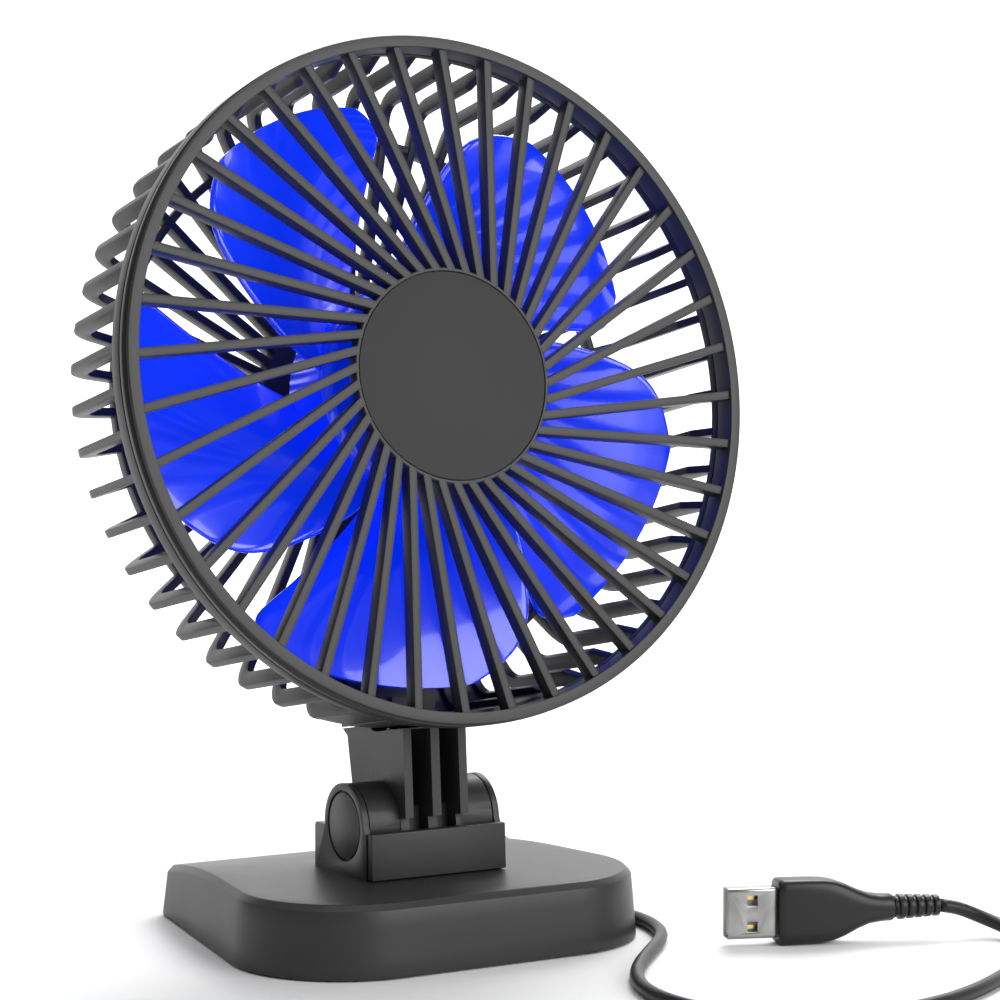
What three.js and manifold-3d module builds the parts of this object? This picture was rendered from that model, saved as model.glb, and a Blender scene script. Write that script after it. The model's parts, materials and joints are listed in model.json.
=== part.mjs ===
// A small USB desk fan: a tilting round head with a blue five-blade impeller, on a base with a hinge bracket.
// Units are millimetres, +Z is up, and the fan faces -Y. The origin is under the middle of the base.
import * as THREE from "three";
import { mergeVertices } from "three/addons/utils/BufferGeometryUtils.js";
import Module from "manifold-3d";

const wasm = await Module();
wasm.setup();

// ---------- driving dimensions ----------
const GAP = 0.3; // clearance between touching pieces
const AXIS_Y = -9; // hinge axis
const AXIS_Z = 28.2;
const TILT = THREE.MathUtils.degToRad(9.3); // how far the head leans back at rest
const RING_AHEAD = 35.75; // from the hinge axis to the plane of the guard's ring, head upright
const RING_ABOVE = 101.7;
const RING_R = 81.3; // outer radius of the guard
const RING_INNER_R = 78.2;
const RING_FRONT = -2.7; // along the fan axis, + is behind the ring plane
const RING_REAR = 6;
const SPOKES = 40;
const SPOKE_WIDTH = 2.1;
const SPOKE_OFFSET = 11.5; // how far a spoke's line passes from the fan axis
const SPOKE_TURN = -5.5; // degrees, direction of the first spoke from straight up
const HUB_PLATE_R = 25.6;
const RIBS = 51;
const RIB_THICK = 2;
const RIB_BAND = 4;
const RIB_R = 79.9;
const RIB_CORNER = 7;
const CAGE_BACK = 41; // back of the cage at its rim
const CAGE_SLOPE = 0.2; // how much deeper the back gets for each mm inwards
const HOOP_R = 67;
const MOUNT_R = 26.5;
const MOUNT_BACK = 50.6;
const HUB_R = 26;
const HUB_FRONT = 13.7;
const HUB_BACK = 32.7;
const BLADES = 5;
const BLADE_THICK = 1.5;
const BLADE_TURN = -77.4; // degrees, the first blade's trailing root from straight up
const MOTOR_R = 17;
const MOTOR_FRONT = 24;
const MOTOR_BACK = 43.5;
const SHAFT_R = 1.5;
const NECK_HALF = 8.5;
const NECK_WALL = 2.1;
const NECK_TOP = 21.6; // flat under the cage's floor, then rising to NECK_TOP_BACK at the rear
const NECK_TOP_BACK = 23.4;
const BARREL_R = 10;
const BARREL_HALF = 16.55;
const EAR_INNER = 16.85;
const EAR_OUTER = 18.4;
const EAR_R = 10.1;
const BOSS_INNER = 13.4; // the ears' bosses reach in to here
const BOLT_R = 2;
const CAP_R = 8.05;
const BASE_HALF_DEPTH = 48.5;
const BASE_BACK_HALF = 41.6; // half width at the back
const BASE_FLARE = 0.146; // how much the sides open towards the front
const BASE_FRONT_R = 27.9;
const BASE_BACK_R = 6;
const BASE_TOP = 16.8;
const BASE_FALL = 0.0021; // the top falls by this times y squared behind the middle
const BASE_DRAFT = 1.3; // how much the walls lean in over their height
const BASE_EDGE = 1.4; // chamfer round the top
const SKIRT_Z = 0.35;
const WALL = 2.2;
const PLATE_Z = 0.9;
const PLATE_TOP = 3.1;
const BUTTON_X = 18;
const BUTTON_Z = 6.7;
const BUTTON_R = 3.1;
const CORD_R = 1.6;
const CORD_X = -18;
const CORD_Z = 6.3;
const COIL_X = 45;
const COIL_Y = 77;
const COIL_MEAN_R = 19.2;
const COIL_FLOOR = 0.75; // the tie passes under the turns

// ---------- finishes ----------
function finish(color, roughness, metalness = 0) {
  return new THREE.MeshStandardMaterial({ color, roughness, metalness });
}
const charcoal = finish(0x3c3c3e, 0.55);
const capGrey = finish(0x4a4a4a, 0.6);
const blue = finish(0x0a2cf0, 0.2);
const steel = finish(0xb8bbc0, 0.3, 1);
const rubber = finish(0x151515, 0.85);
const black = finish(0x141414, 0.45);
const boardGreen = finish(0x1c5a33, 0.5);
const white = finish(0xe4e4e0, 0.4);

// ---------- solids ----------
// A closed geometry as a solid with its faces pointing out, whichever way its outline ran.
function solid(geometry) {
  const g = geometry.clone();
  g.deleteAttribute("normal");
  g.deleteAttribute("uv");
  const merged = mergeVertices(g, 1e-4);
  const vertProperties = new Float32Array(merged.attributes.position.array);
  const triVerts = new Uint32Array(merged.index.array);
  const made = new wasm.Manifold(new wasm.Mesh({ numProp: 3, vertProperties, triVerts }));
  if (made.volume() > 0) return made;
  for (let i = 0; i < triVerts.length; i += 3) {
    [triVerts[i + 1], triVerts[i + 2]] = [triVerts[i + 2], triVerts[i + 1]];
  }
  return new wasm.Manifold(new wasm.Mesh({ numProp: 3, vertProperties, triVerts }));
}

function join(first, ...others) {
  return others.reduce((sum, other) => sum.add(other), first);
}

function cut(first, ...others) {
  return others.reduce((rest, other) => rest.subtract(other), first);
}

function box(x0, x1, y0, y1, z0, z1) {
  const g = new THREE.BoxGeometry(x1 - x0, y1 - y0, z1 - z0);
  return solid(g.translate((x0 + x1) / 2, (y0 + y1) / 2, (z0 + z1) / 2));
}

// A round bar from a to b along x, y or z; (u, v) is its centre in the other two, in that order.
function rod(axis, radius, a, b, u, v, sides = 24, radiusB = radius) {
  const g = new THREE.CylinderGeometry(radiusB, radius, b - a, sides);
  g.translate(0, (a + b) / 2, 0);
  if (axis === "x") g.rotateZ(-Math.PI / 2).translate(0, u, v);
  if (axis === "y") g.translate(u, 0, v);
  if (axis === "z") g.rotateX(Math.PI / 2).translate(u, v, 0);
  return solid(g);
}

// A profile of [radius, distance along y] turned about the y axis.
function turned(profile, sides) {
  const points = profile.map(([r, y]) => new THREE.Vector2(r, y));
  if (profile[0][0] > 0) points.push(points[0].clone());
  return solid(new THREE.LatheGeometry(points, sides));
}

// An outline of [y, z] points extruded along x from x0 to x1.
function acrossX(outline, x0, x1) {
  const shape = new THREE.Shape(outline.map(([y, z]) => new THREE.Vector2(y, z)));
  const g = new THREE.ExtrudeGeometry(shape, { depth: x1 - x0, bevelEnabled: false });
  g.rotateX(Math.PI / 2).rotateZ(Math.PI / 2);
  return solid(g.translate(x0, 0, 0));
}

function upward(shape, z0, z1) {
  const g = new THREE.ExtrudeGeometry(shape, { depth: z1 - z0, bevelEnabled: false, curveSegments: 8 });
  return solid(g.translate(0, 0, z0));
}

function arc(cx, cy, r, from, to, steps) {
  const points = [];
  for (let i = 0; i <= steps; i++) {
    const a = THREE.MathUtils.degToRad(from + ((to - from) * i) / steps);
    points.push([cx + r * Math.cos(a), cy + r * Math.sin(a)]);
  }
  return points;
}

function piece(parent, name, shape, material) {
  const mesh = shape.getMesh();
  const positions = new Float32Array(mesh.numVert * 3);
  for (let i = 0; i < mesh.numVert; i++) {
    for (let k = 0; k < 3; k++) positions[3 * i + k] = mesh.vertProperties[i * mesh.numProp + k];
  }
  const g = new THREE.BufferGeometry();
  g.setAttribute("position", new THREE.BufferAttribute(positions, 3));
  g.setIndex(new THREE.BufferAttribute(new Uint32Array(mesh.triVerts), 1));
  g.computeVertexNormals();
  const made = new THREE.Mesh(g, material);
  made.name = name;
  parent.add(made);
  return made;
}

// A screw along +z from its head: the head's underside is at z.
function screw(headR, headHigh, shankR, length, x, y, z) {
  return rod("z", headR, z - headHigh, z, x, y, 16).add(rod("z", shankR, z - 0.1, z + length, x, y, 12));
}

const part = new THREE.Group();
const base = new THREE.Group();
const head = new THREE.Group(); // its own origin is on the hinge axis, and it is built upright
const fan = new THREE.Group(); // its own y axis is the fan's axis, + to the rear
part.add(base, head);
head.add(fan);
head.position.set(0, AXIS_Y, AXIS_Z);
head.rotation.x = -TILT;
fan.position.set(0, -RING_AHEAD, RING_ABOVE);

// ---------- front grille: ring, swept spokes and the plate at the middle ----------
const SKIRT_R = 79.75;
const SEAM = 1.1; // the two halves of the ring meet here
const RING_GROOVE_R = 80.3;
const SPOKE_FRONT = -2;
const SPOKE_BACK = 2;
const CAP_SEAT = -1.2;

function frontGrille() {
  const ring = turned(
    [
      [RING_INNER_R, RING_FRONT],
      [RING_R - 0.6, RING_FRONT],
      [RING_R - 0.3, -2.2],
      [RING_GROOVE_R, -2.1],
      [RING_GROOVE_R, -0.5],
      [RING_R, -0.3],
      [RING_R, SEAM],
      [SKIRT_R, SEAM],
      [SKIRT_R, 3.3],
      [RING_INNER_R, 3.3],
    ],
    84,
  );
  const plate = rod("y", HUB_PLATE_R, SPOKE_FRONT + 0.1, 1.6, 0, 0, 48);
  const from = Math.sqrt((HUB_PLATE_R - 0.6) ** 2 - SPOKE_OFFSET ** 2);
  const to = Math.sqrt((RING_INNER_R + 0.5) ** 2 - SPOKE_OFFSET ** 2);
  let grille = ring.add(plate);
  for (let k = 0; k < SPOKES; k++) {
    const bar = new THREE.BoxGeometry(SPOKE_WIDTH, SPOKE_BACK - SPOKE_FRONT, to - from);
    bar.translate(SPOKE_OFFSET, (SPOKE_FRONT + SPOKE_BACK) / 2, (from + to) / 2);
    bar.rotateY(THREE.MathUtils.degToRad(SPOKE_TURN + (360 / SPOKES) * k));
    grille = grille.add(solid(bar));
  }
  return grille.subtract(rod("y", HUB_PLATE_R - 0.6, -4, CAP_SEAT, 0, 0, 48));
}
piece(fan, "front_grille", frontGrille(), charcoal);
piece(fan, "centre_cap", rod("y", HUB_PLATE_R - 0.9, -1.9, CAP_SEAT - GAP, 0, 0, 48), capGrey);

// ---------- rear grille: ring, bent ribs, hoop, motor mount, and the floor over the neck ----------
function cageBackAt(r) {
  return CAGE_BACK + CAGE_SLOPE * (RIB_R - RIB_CORNER - r);
}

function ribOutline() {
  const cornerY = CAGE_BACK - RIB_CORNER;
  const cx = RIB_R - RIB_CORNER;
  const endR = MOUNT_R - 1.5;
  const end = cageBackAt(endR);
  return [
    [RIB_R, 5],
    ...arc(cx, cornerY, RIB_CORNER, 0, 78.7, 3),
    [endR, end],
    [endR, end - RIB_BAND],
    ...arc(cx, cornerY, RIB_CORNER - RIB_BAND, 78.7, 0, 1),
    [RIB_R - RIB_BAND, 12],
    [RING_INNER_R, 5],
  ];
}

function aroundFan(geometry, degrees) {
  return geometry.clone().rotateY(THREE.MathUtils.degToRad(degrees));
}

const NO_RIBS = 8.5; // degrees either side of straight down without ribs, where the spine is
const FLOOR_R = 79.7; // the closed floor's outside, over the neck
const FLOOR_THICK = 2.2;
const FLOOR_SECTOR = 17.6; // degrees either side of straight down
const SPINE_FOOT = 78; // how far below the fan's axis the spine and its cover end

// The closed panel over the neck: along the rim, round the corner and up the back as far as the hoop.
function cageFloor() {
  const cornerY = CAGE_BACK - RIB_CORNER;
  const cx = RIB_R - RIB_CORNER;
  const back = cageBackAt(HOOP_R);
  const shell = turned(
    [
      [FLOOR_R, RING_REAR - 1],
      ...arc(cx, cornerY, FLOOR_R - cx, 0, 78.7, 4),
      [HOOP_R, back - 0.3],
      [HOOP_R, back - 0.3 - FLOOR_THICK],
      ...arc(cx, cornerY, FLOOR_R - cx - FLOOR_THICK, 78.7, 0, 3),
      [FLOOR_R - FLOOR_THICK, RING_REAR - 1],
    ],
    84,
  );
  const x = 90 * Math.tan(THREE.MathUtils.degToRad(FLOOR_SECTOR));
  const wedge = [0, 60].flatMap((y) => [[0, y, 0], [-x, y, -90], [x, y, -90]]);
  return shell.intersect(wasm.Manifold.hull(wedge));
}

function rearGrille() {
  const ring = turned(
    [
      [RING_R, SEAM + GAP],
      [RING_R, RING_REAR],
      [RING_INNER_R, RING_REAR],
      [RING_INNER_R, 3.6],
      [SKIRT_R + GAP, 3.6],
      [SKIRT_R + GAP, SEAM + GAP],
    ],
    84,
  );
  const hoopBack = cageBackAt(HOOP_R) - 0.2;
  const hoop = turned(
    [
      [HOOP_R - 1, hoopBack - 3.4],
      [HOOP_R + 1, hoopBack - 3.4],
      [HOOP_R + 1, hoopBack],
      [HOOP_R - 1, hoopBack],
    ],
    60,
  );
  const mountFront = cageBackAt(MOUNT_R) - RIB_BAND;
  const mount = turned(
    [
      [MOUNT_R, mountFront],
      [MOUNT_R, MOUNT_BACK],
      [MOUNT_R - 1.8, MOUNT_BACK],
      [MOUNT_R - 1.8, mountFront + 2],
      [4.2, mountFront + 2],
      [4.2, mountFront],
    ],
    48,
  );
  const rib = new THREE.ExtrudeGeometry(
    new THREE.Shape(ribOutline().map(([r, y]) => new THREE.Vector2(r, y))),
    { depth: RIB_THICK, bevelEnabled: false },
  ).translate(0, 0, -RIB_THICK / 2);
  let grille = join(ring, hoop);
  for (let k = 0; k < RIBS; k++) {
    const fromBottom = ((k + 0.5) * 360) / RIBS;
    const away = Math.min(fromBottom, 360 - fromBottom);
    if (away > NO_RIBS) grille = grille.add(solid(aroundFan(rib, 90 + fromBottom)));
  }
  // the ribs beside the spine stop short of its cover
  grille = grille.subtract(box(-SPINE_HALF - GAP, SPINE_HALF + GAP, 49, 60, -RIB_R, -MOUNT_R));
  // the spine rises from the closed floor to the motor mount
  const spine = join(
    box(-SPINE_HALF, SPINE_HALF, SPINE_FRONT, SPINE_FRONT + 1.8, -SPINE_FOOT, -MOUNT_R + 2),
    box(-SPINE_HALF, -SPINE_HALF + 1.8, SPINE_FRONT, SPINE_BACK, -SPINE_FOOT, -MOUNT_R + 1),
    box(SPINE_HALF - 1.8, SPINE_HALF, SPINE_FRONT, SPINE_BACK, -SPINE_FOOT, -MOUNT_R + 1),
    box(-SPINE_HALF, SPINE_HALF, 37, SPINE_FRONT + 1.8, -SPINE_FOOT, -SPINE_FOOT + 6),
  );
  const boss = rod("y", 2.4, SPINE_FRONT, SPINE_BACK, ...COVER_SCREWS[2], 16);
  const leadSlot = box(-1.6, 1.6, SPINE_FRONT + 1.8 + GAP, 60, -MOUNT_R - 3, -12);
  let made = join(grille, cageFloor(), mount, spine, boss).subtract(leadSlot);
  for (const x of [-1, 1]) made = made.subtract(rod("y", 1.4, 30, 60, x * MOUNT_SCREW_X, 0, 12));
  for (const [x, z] of COVER_SCREWS) made = made.subtract(rod("y", 1.1, 40, 60, x, z, 12));
  const seats = NECK_SCREWS.map(([x, y]) => {
    const hole = rod("z", 1.1, -90, -70, x, y + RING_AHEAD, 12);
    return hole.add(rod("z", 2.4, NECK_SCREW_Z - RING_ABOVE - GAP, -66, x, y + RING_AHEAD, 16));
  });
  return cut(made, ...seats);
}
const SPINE_HALF = 9.5;
const SPINE_FRONT = 43.6;
const SPINE_BACK = MOUNT_BACK;
const MOUNT_SCREW_X = 10;
const COVER_SCREWS = [
  [-20, 8],
  [20, 8],
  [5.6, -70],
];
const NECK_SCREWS = [
  [-4.2, 0],
  [4.2, 0],
]; // across and along, in the head's frame
const NECK_SCREW_Z = 24.4;
piece(fan, "rear_grille", rearGrille(), charcoal);

// ---------- rear cover over the motor and the spine ----------
const COVER_FRONT = SPINE_BACK + GAP;
const COVER_BACK = COVER_FRONT + 1.6;
function rearCover() {
  const disc = rod("y", MOUNT_R, COVER_FRONT, COVER_BACK, 0, 0, 48);
  const strip = box(-SPINE_HALF, SPINE_HALF, COVER_FRONT, COVER_BACK, -SPINE_FOOT, 0);
  const screws = COVER_SCREWS.map(([x, z]) => rod("y", 1.5, 40, 60, x, z, 12));
  return cut(disc.add(strip), ...screws);
}
piece(fan, "rear_cover", rearCover(), charcoal);

function screwForward(headR, headHigh, shankR, length, x, z, y) {
  const under = rod("y", shankR, y - length, y + 0.1, x, z, 10);
  return under.add(rod("y", headR, y, y + headHigh, x, z, 16));
}
COVER_SCREWS.forEach(([x, z], i) => {
  const shape = screwForward(2.1, 0.9, 0.8, 6.2, x, z, COVER_BACK + GAP);
  piece(fan, "cover_screw_" + (i + 1), shape, steel);
});

// ---------- motor ----------
piece(
  fan,
  "motor_can",
  turned(
    [
      [MOTOR_R, MOTOR_FRONT],
      [MOTOR_R, MOTOR_BACK - 2.5],
      [MOTOR_R - 1, MOTOR_BACK - 2.5],
      [MOTOR_R - 1, MOTOR_FRONT + 1.5],
      [4, MOTOR_FRONT + 1.5],
      [4, MOTOR_FRONT],
    ],
    32,
  ),
  steel,
);
function motorEnd() {
  const disc = turned(
    [
      [4, MOTOR_BACK - 2.2],
      [MOTOR_R, MOTOR_BACK - 2.2],
      [MOTOR_R, MOTOR_BACK],
      [4, MOTOR_BACK],
    ],
    32,
  );
  return cut(disc, ...[-1, 1].map((x) => rod("y", 1.2, 30, 60, x * MOUNT_SCREW_X, 0, 12)));
}
piece(fan, "motor_end_bell", motorEnd(), black);
piece(
  fan,
  "motor_windings",
  turned(
    [
      [6, MOTOR_FRONT + 4],
      [14.5, MOTOR_FRONT + 4],
      [14.5, MOTOR_BACK - 5],
      [6, MOTOR_BACK - 5],
    ],
    24,
  ),
  finish(0xb06a35, 0.45, 1),
);
for (const [name, at] of [["front", MOTOR_FRONT - 0.5], ["rear", MOTOR_BACK - 2.6]]) {
  const bush = [
    [SHAFT_R + GAP, at],
    [3.7, at],
    [3.7, at + 2.9],
    [SHAFT_R + GAP, at + 2.9],
  ];
  piece(fan, name + "_bush", turned(bush, 20), finish(0xa8834a, 0.4, 1));
}
[-1, 1].forEach((side, i) => {
  const y = cageBackAt(MOUNT_R) - RIB_BAND + 2 + GAP;
  const shape = screwForward(2.2, 1, 0.9, 6, side * MOUNT_SCREW_X, 0, y);
  piece(fan, "motor_screw_" + (i + 1), shape, steel);
});

// ---------- impeller: a cup-shaped hub with five pitched blades ----------
// One blade's outline: at each radius, the angles of its trailing and leading edges past the root.
const BLADE_ROWS = [
  [HUB_R - 1, -4, 58, 15.5, 31.5],
  [33, 1.5, 65, 13.5, 31],
  [43, 9, 71.5, 12, 30.5],
  [53, 15, 75.5, 11, 30],
  [61, 20.5, 76.8, 10.8, 29.4],
  [67, 27, 74, 11.4, 28.4],
  [70.3, 37, 66, 13.6, 25.8],
];
const BLADE_COLUMNS = 6;

function bladeGeometry(turn) {
  const front = [];
  for (const [r, a0, a1, y0, y1] of BLADE_ROWS) {
    for (let j = 0; j <= BLADE_COLUMNS; j++) {
      const t = j / BLADE_COLUMNS;
      const a = THREE.MathUtils.degToRad(turn + a0 + (a1 - a0) * t);
      const sag = 1.6 * Math.sin(Math.PI * t);
      front.push([r * Math.sin(a), y0 + (y1 - y0) * t - sag, r * Math.cos(a)]);
    }
  }
  const count = front.length;
  const points = [...front, ...front.map(([x, y, z]) => [x, y + BLADE_THICK, z])];
  const wide = BLADE_COLUMNS + 1;
  const faces = [];
  const quad = (a, b, c, d) => faces.push(a, b, c, a, c, d);
  for (let i = 0; i + 1 < BLADE_ROWS.length; i++) {
    for (let j = 0; j < BLADE_COLUMNS; j++) {
      const a = i * wide + j;
      quad(a, a + 1, a + wide + 1, a + wide);
      quad(count + a, count + a + wide, count + a + wide + 1, count + a + 1);
    }
  }
  const last = (BLADE_ROWS.length - 1) * wide;
  for (let j = 0; j < BLADE_COLUMNS; j++) {
    quad(j, count + j, count + j + 1, j + 1);
    quad(last + j, last + j + 1, count + last + j + 1, count + last + j);
  }
  for (let i = 0; i + 1 < BLADE_ROWS.length; i++) {
    const a = i * wide;
    const b = a + BLADE_COLUMNS;
    quad(a, a + wide, count + a + wide, count + a);
    quad(b, count + b, count + b + wide, b + wide);
  }
  const g = new THREE.BufferGeometry();
  g.setAttribute("position", new THREE.Float32BufferAttribute(points.flat(), 3));
  g.setIndex(faces);
  return g;
}

function impeller() {
  let made = turned(
    [
      [SHAFT_R + GAP, HUB_FRONT],
      [HUB_R - 2, HUB_FRONT],
      [HUB_R, HUB_FRONT + 2],
      [HUB_R, HUB_BACK],
      [HUB_R - 1.8, HUB_BACK],
      [HUB_R - 1.8, HUB_FRONT + 2.5],
      [5, HUB_FRONT + 2.5],
      [5, MOTOR_FRONT - 1.2],
      [SHAFT_R + GAP, MOTOR_FRONT - 1.2],
    ],
    48,
  );
  const inside = rod("y", HUB_R - 1.8, HUB_FRONT + 3, 60, 0, 0, 48);
  for (let k = 0; k < BLADES; k++) {
    const blade = solid(bladeGeometry(BLADE_TURN + (360 / BLADES) * k));
    made = made.add(blade.subtract(inside));
  }
  return made;
}
piece(fan, "impeller", impeller(), blue);
piece(fan, "motor_shaft", rod("y", SHAFT_R, 11.5, MOTOR_BACK + 1.5, 0, 0, 16), steel);
piece(
  fan,
  "shaft_collar",
  turned(
    [
      [SHAFT_R + GAP, 11.2],
      [4.5, 11.2],
      [4.5, HUB_FRONT - GAP],
      [SHAFT_R + GAP, HUB_FRONT - GAP],
    ],
    20,
  ),
  steel,
);

// ---------- neck: barrel, two walls and a middle fin ----------
const NECK_FRONT = -14.8;
const NECK_LEVEL = -1.75; // from here back the top rises
const NECK_BACK = 16.4;

function neck() {
  const side = [
    [NECK_LEVEL, NECK_TOP],
    [NECK_FRONT, NECK_TOP],
    [-12.8, 0.6],
    [-10.5, 0.6],
    [-10.3, -2.5],
    [0, -8],
    [12.7, 8.6],
    [13.5, 10],
    [14.2, NECK_TOP],
    [NECK_BACK, NECK_TOP_BACK],
  ];
  let made = acrossX(side, -NECK_HALF, NECK_HALF);
  const finHalf = 1.15;
  for (const [x0, x1] of [[-NECK_HALF + NECK_WALL, -finHalf], [finHalf, NECK_HALF - NECK_WALL]]) {
    made = cut(made, box(x0, x1, -20, 6, 6, 30), box(x0, x1, -20, -5.5, -9, 7));
  }
  made = made.subtract(box(-2, 2, 8.2, 12.2, 9.5, 30));
  const roof = box(-NECK_HALF, NECK_HALF, NECK_FRONT + 0.3, 7.9, NECK_TOP - 1, NECK_TOP);
  const barrel = rod("x", BARREL_R, -BARREL_HALF, BARREL_HALF, 0, 0, 40);
  const slots = [-1, 1].map((s) => {
    const edges = [s * finHalf, s * (NECK_HALF - NECK_WALL)].sort((a, b) => a - b);
    return box(edges[0], edges[1], -20, -6, -7, 4);
  });
  made = join(made, roof, cut(barrel, ...slots));
  const core = rod("x", BOLT_R + 0.5, -30, 30, 0, 0, 20);
  const seats = [-1, 1].map((s) => {
    return rod("x", 7.9, Math.min(s * 12.4, s * 20), Math.max(s * 12.4, s * 20), 0, 0, 28);
  });
  const bosses = NECK_SCREWS.map(([x, y]) => rod("z", 1.9, 8, NECK_TOP - 0.5, x, y, 14));
  const holes = NECK_SCREWS.map(([x, y]) => rod("z", 1.1, 14, 30, x, y, 12));
  return cut(join(made, ...bosses), core, ...seats, ...holes);
}
piece(head, "neck", neck(), charcoal);
NECK_SCREWS.forEach(([x, y], i) => {
  const shank = rod("z", 0.8, NECK_SCREW_Z - 6, NECK_SCREW_Z + 0.1, x, y, 10);
  const shape = shank.add(rod("z", 1.9, NECK_SCREW_Z, NECK_SCREW_Z + 1, x, y, 16));
  piece(head, "neck_screw_" + (i + 1), shape, steel);
});

// A round lead or cord along points, as a tube with a chosen number of steps.
function tube(points, radius, sides, steps) {
  const curve = new THREE.CatmullRomCurve3(points.map((p) => new THREE.Vector3(...p)), false, "centripetal");
  const section = new THREE.Shape();
  for (let i = 0; i < sides; i++) {
    const a = (i * 2 * Math.PI) / sides;
    const p = [radius * Math.cos(a), radius * Math.sin(a)];
    if (i) section.lineTo(...p);
    else section.moveTo(...p);
  }
  const g = new THREE.ExtrudeGeometry(section, { steps, extrudePath: curve, bevelEnabled: false });
  return solid(g);
}

// the lead from the motor, down the spine behind the cage and into the neck
piece(
  head,
  "motor_lead",
  tube(
    [
      [0, 9.1, 90],
      [0, 9.5, 86],
      [0, 11, 80],
      [0, 11.1, 60],
      [0, 11.1, 40],
      [0, 11, 24.5],
      [0, 10.4, 20],
      [0, 9.9, 12],
    ],
    0.9,
    8,
    14,
  ),
  rubber,
);

// ---------- base ----------
// The base's outline as a shape, drawn in by inset: straight sides that open to the front, and round corners.
function baseOutline(inset) {
  const tilt = Math.atan(BASE_FLARE);
  const half = (y) => BASE_BACK_HALF + BASE_FLARE * (BASE_HALF_DEPTH - y);
  const corner = (r, yc) => half(yc) - r / Math.cos(tilt);
  const frontY = -BASE_HALF_DEPTH + BASE_FRONT_R;
  const backY = BASE_HALF_DEPTH - BASE_BACK_R;
  const frontX = corner(BASE_FRONT_R, frontY);
  const backX = corner(BASE_BACK_R, backY);
  const shape = new THREE.Shape();
  const rf = BASE_FRONT_R - inset;
  const rb = BASE_BACK_R - inset;
  shape.absarc(frontX, frontY, rf, -Math.PI / 2, tilt, false);
  shape.absarc(backX, backY, rb, tilt, Math.PI / 2, false);
  shape.absarc(-backX, backY, rb, Math.PI / 2, Math.PI - tilt, false);
  shape.absarc(-frontX, frontY, rf, Math.PI - tilt, Math.PI * 1.5, false);
  return shape;
}

// The space under the base's curved top, lowered by drop, as a prism across x.
function underTop(drop) {
  const top = [[-60, BASE_TOP - drop]];
  for (let y = 0; y <= 60; y += 10) top.push([y, BASE_TOP - drop - BASE_FALL * y * y]);
  return acrossX([[-60, -5], ...top, [60, -5]], -70, 70);
}

const POSTS = [
  [-33, 33],
  [33, 33],
  [-38, -30],
  [38, -30],
];
const POST_R = 3.6;
const SCREW_SEAT = PLATE_Z + 1.2;

function earOutline() {
  return [
    [-20.2, BASE_TOP - 1.5],
    [-20.2, AXIS_Z],
    ...arc(AXIS_Y, AXIS_Z, EAR_R, 180, 0, 16),
    [AXIS_Y + EAR_R, 27.3],
    [5.6, 27.3],
    [6.1, 26.7],
    [6.3, BASE_TOP - 1.5],
  ];
}

// A convex solid through the base's outline at several heights: each station is a height and an inset.
function leaning(...stations) {
  const points = stations.flatMap(([z, inset]) => baseOutline(inset).getPoints(8).map((p) => [p.x, p.y, z]));
  return wasm.Manifold.hull(points);
}

function baseShell() {
  const wallTop = BASE_TOP - BASE_EDGE;
  const drafted = leaning([SKIRT_Z, 0], [wallTop, BASE_DRAFT], [BASE_TOP, BASE_DRAFT + BASE_EDGE]);
  const body = drafted.intersect(underTop(0));
  const hollow = leaning([-1, WALL], [wallTop, BASE_DRAFT + WALL]).intersect(underTop(WALL));
  let made = body.subtract(hollow);
  for (const [x, y] of POSTS) {
    const post = rod("z", POST_R, PLATE_TOP + GAP, 20, x, y, 16).intersect(underTop(0.5));
    made = made.add(post).subtract(rod("z", 1.3, 0, 11.5, x, y, 12));
  }
  for (const s of [-1, 1]) {
    const ear = acrossX(earOutline(), Math.min(s * EAR_INNER, s * EAR_OUTER), Math.max(s * EAR_INNER, s * EAR_OUTER));
    const bossEnds = [s * BOSS_INNER, s * EAR_OUTER].sort((a, b) => a - b);
    made = join(made, ear, rod("x", 7.6, ...bossEnds, AXIS_Y, AXIS_Z, 28));
    const capSeat = [s * 17.4, s * 30].sort((a, b) => a - b);
    const headSeat = [s * 15.4, s * 30].sort((a, b) => a - b);
    made = cut(made, rod("x", CAP_R + GAP, ...capSeat, AXIS_Y, AXIS_Z, 32));
    made = cut(made, rod("x", 4.6, ...headSeat, AXIS_Y, AXIS_Z, 20));
  }
  const rearWall = box(-EAR_INNER - 0.2, EAR_INNER + 0.2, 3.2, 6.2, BASE_TOP - 1.5, 26.7);
  made = made.add(rearWall).subtract(rod("x", BOLT_R + GAP, -30, 30, AXIS_Y, AXIS_Z, 20));
  const leadHole = box(-5, 5, -13, -6, 12, 20);
  const buttonHole = rod("y", BUTTON_R + GAP, 40, 60, BUTTON_X, BUTTON_Z, 24);
  const cordHole = rod("y", 3, 40, 60, CORD_X, CORD_Z, 20);
  return cut(made, leadHole, buttonHole, cordHole);
}
piece(base, "base_shell", baseShell(), charcoal);

const FEET = [
  [-27, 38],
  [27, 38],
  [-33, -36],
  [33, -36],
];
const FOOT_R = 5;

function basePlate() {
  let made = upward(baseOutline(WALL + 2 * GAP), PLATE_Z, PLATE_TOP);
  for (const [x, y] of POSTS) {
    made = cut(made, rod("z", 3, 0, SCREW_SEAT, x, y, 20), rod("z", 1.5, 0, 6, x, y, 12));
  }
  for (const [x, y] of FEET) made = made.subtract(rod("z", FOOT_R + GAP, 0, 1.8, x, y, 24));
  return made;
}
piece(base, "base_plate", basePlate(), charcoal);
POSTS.forEach(([x, y], i) => {
  piece(base, "base_screw_" + (i + 1), screw(2.5, 0.9, 1, 7, x, y, SCREW_SEAT - GAP), steel);
});
FEET.forEach(([x, y], i) => {
  piece(base, "foot_" + (i + 1), rod("z", FOOT_R, 0, 1.5, x, y, 24), rubber);
});

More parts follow.
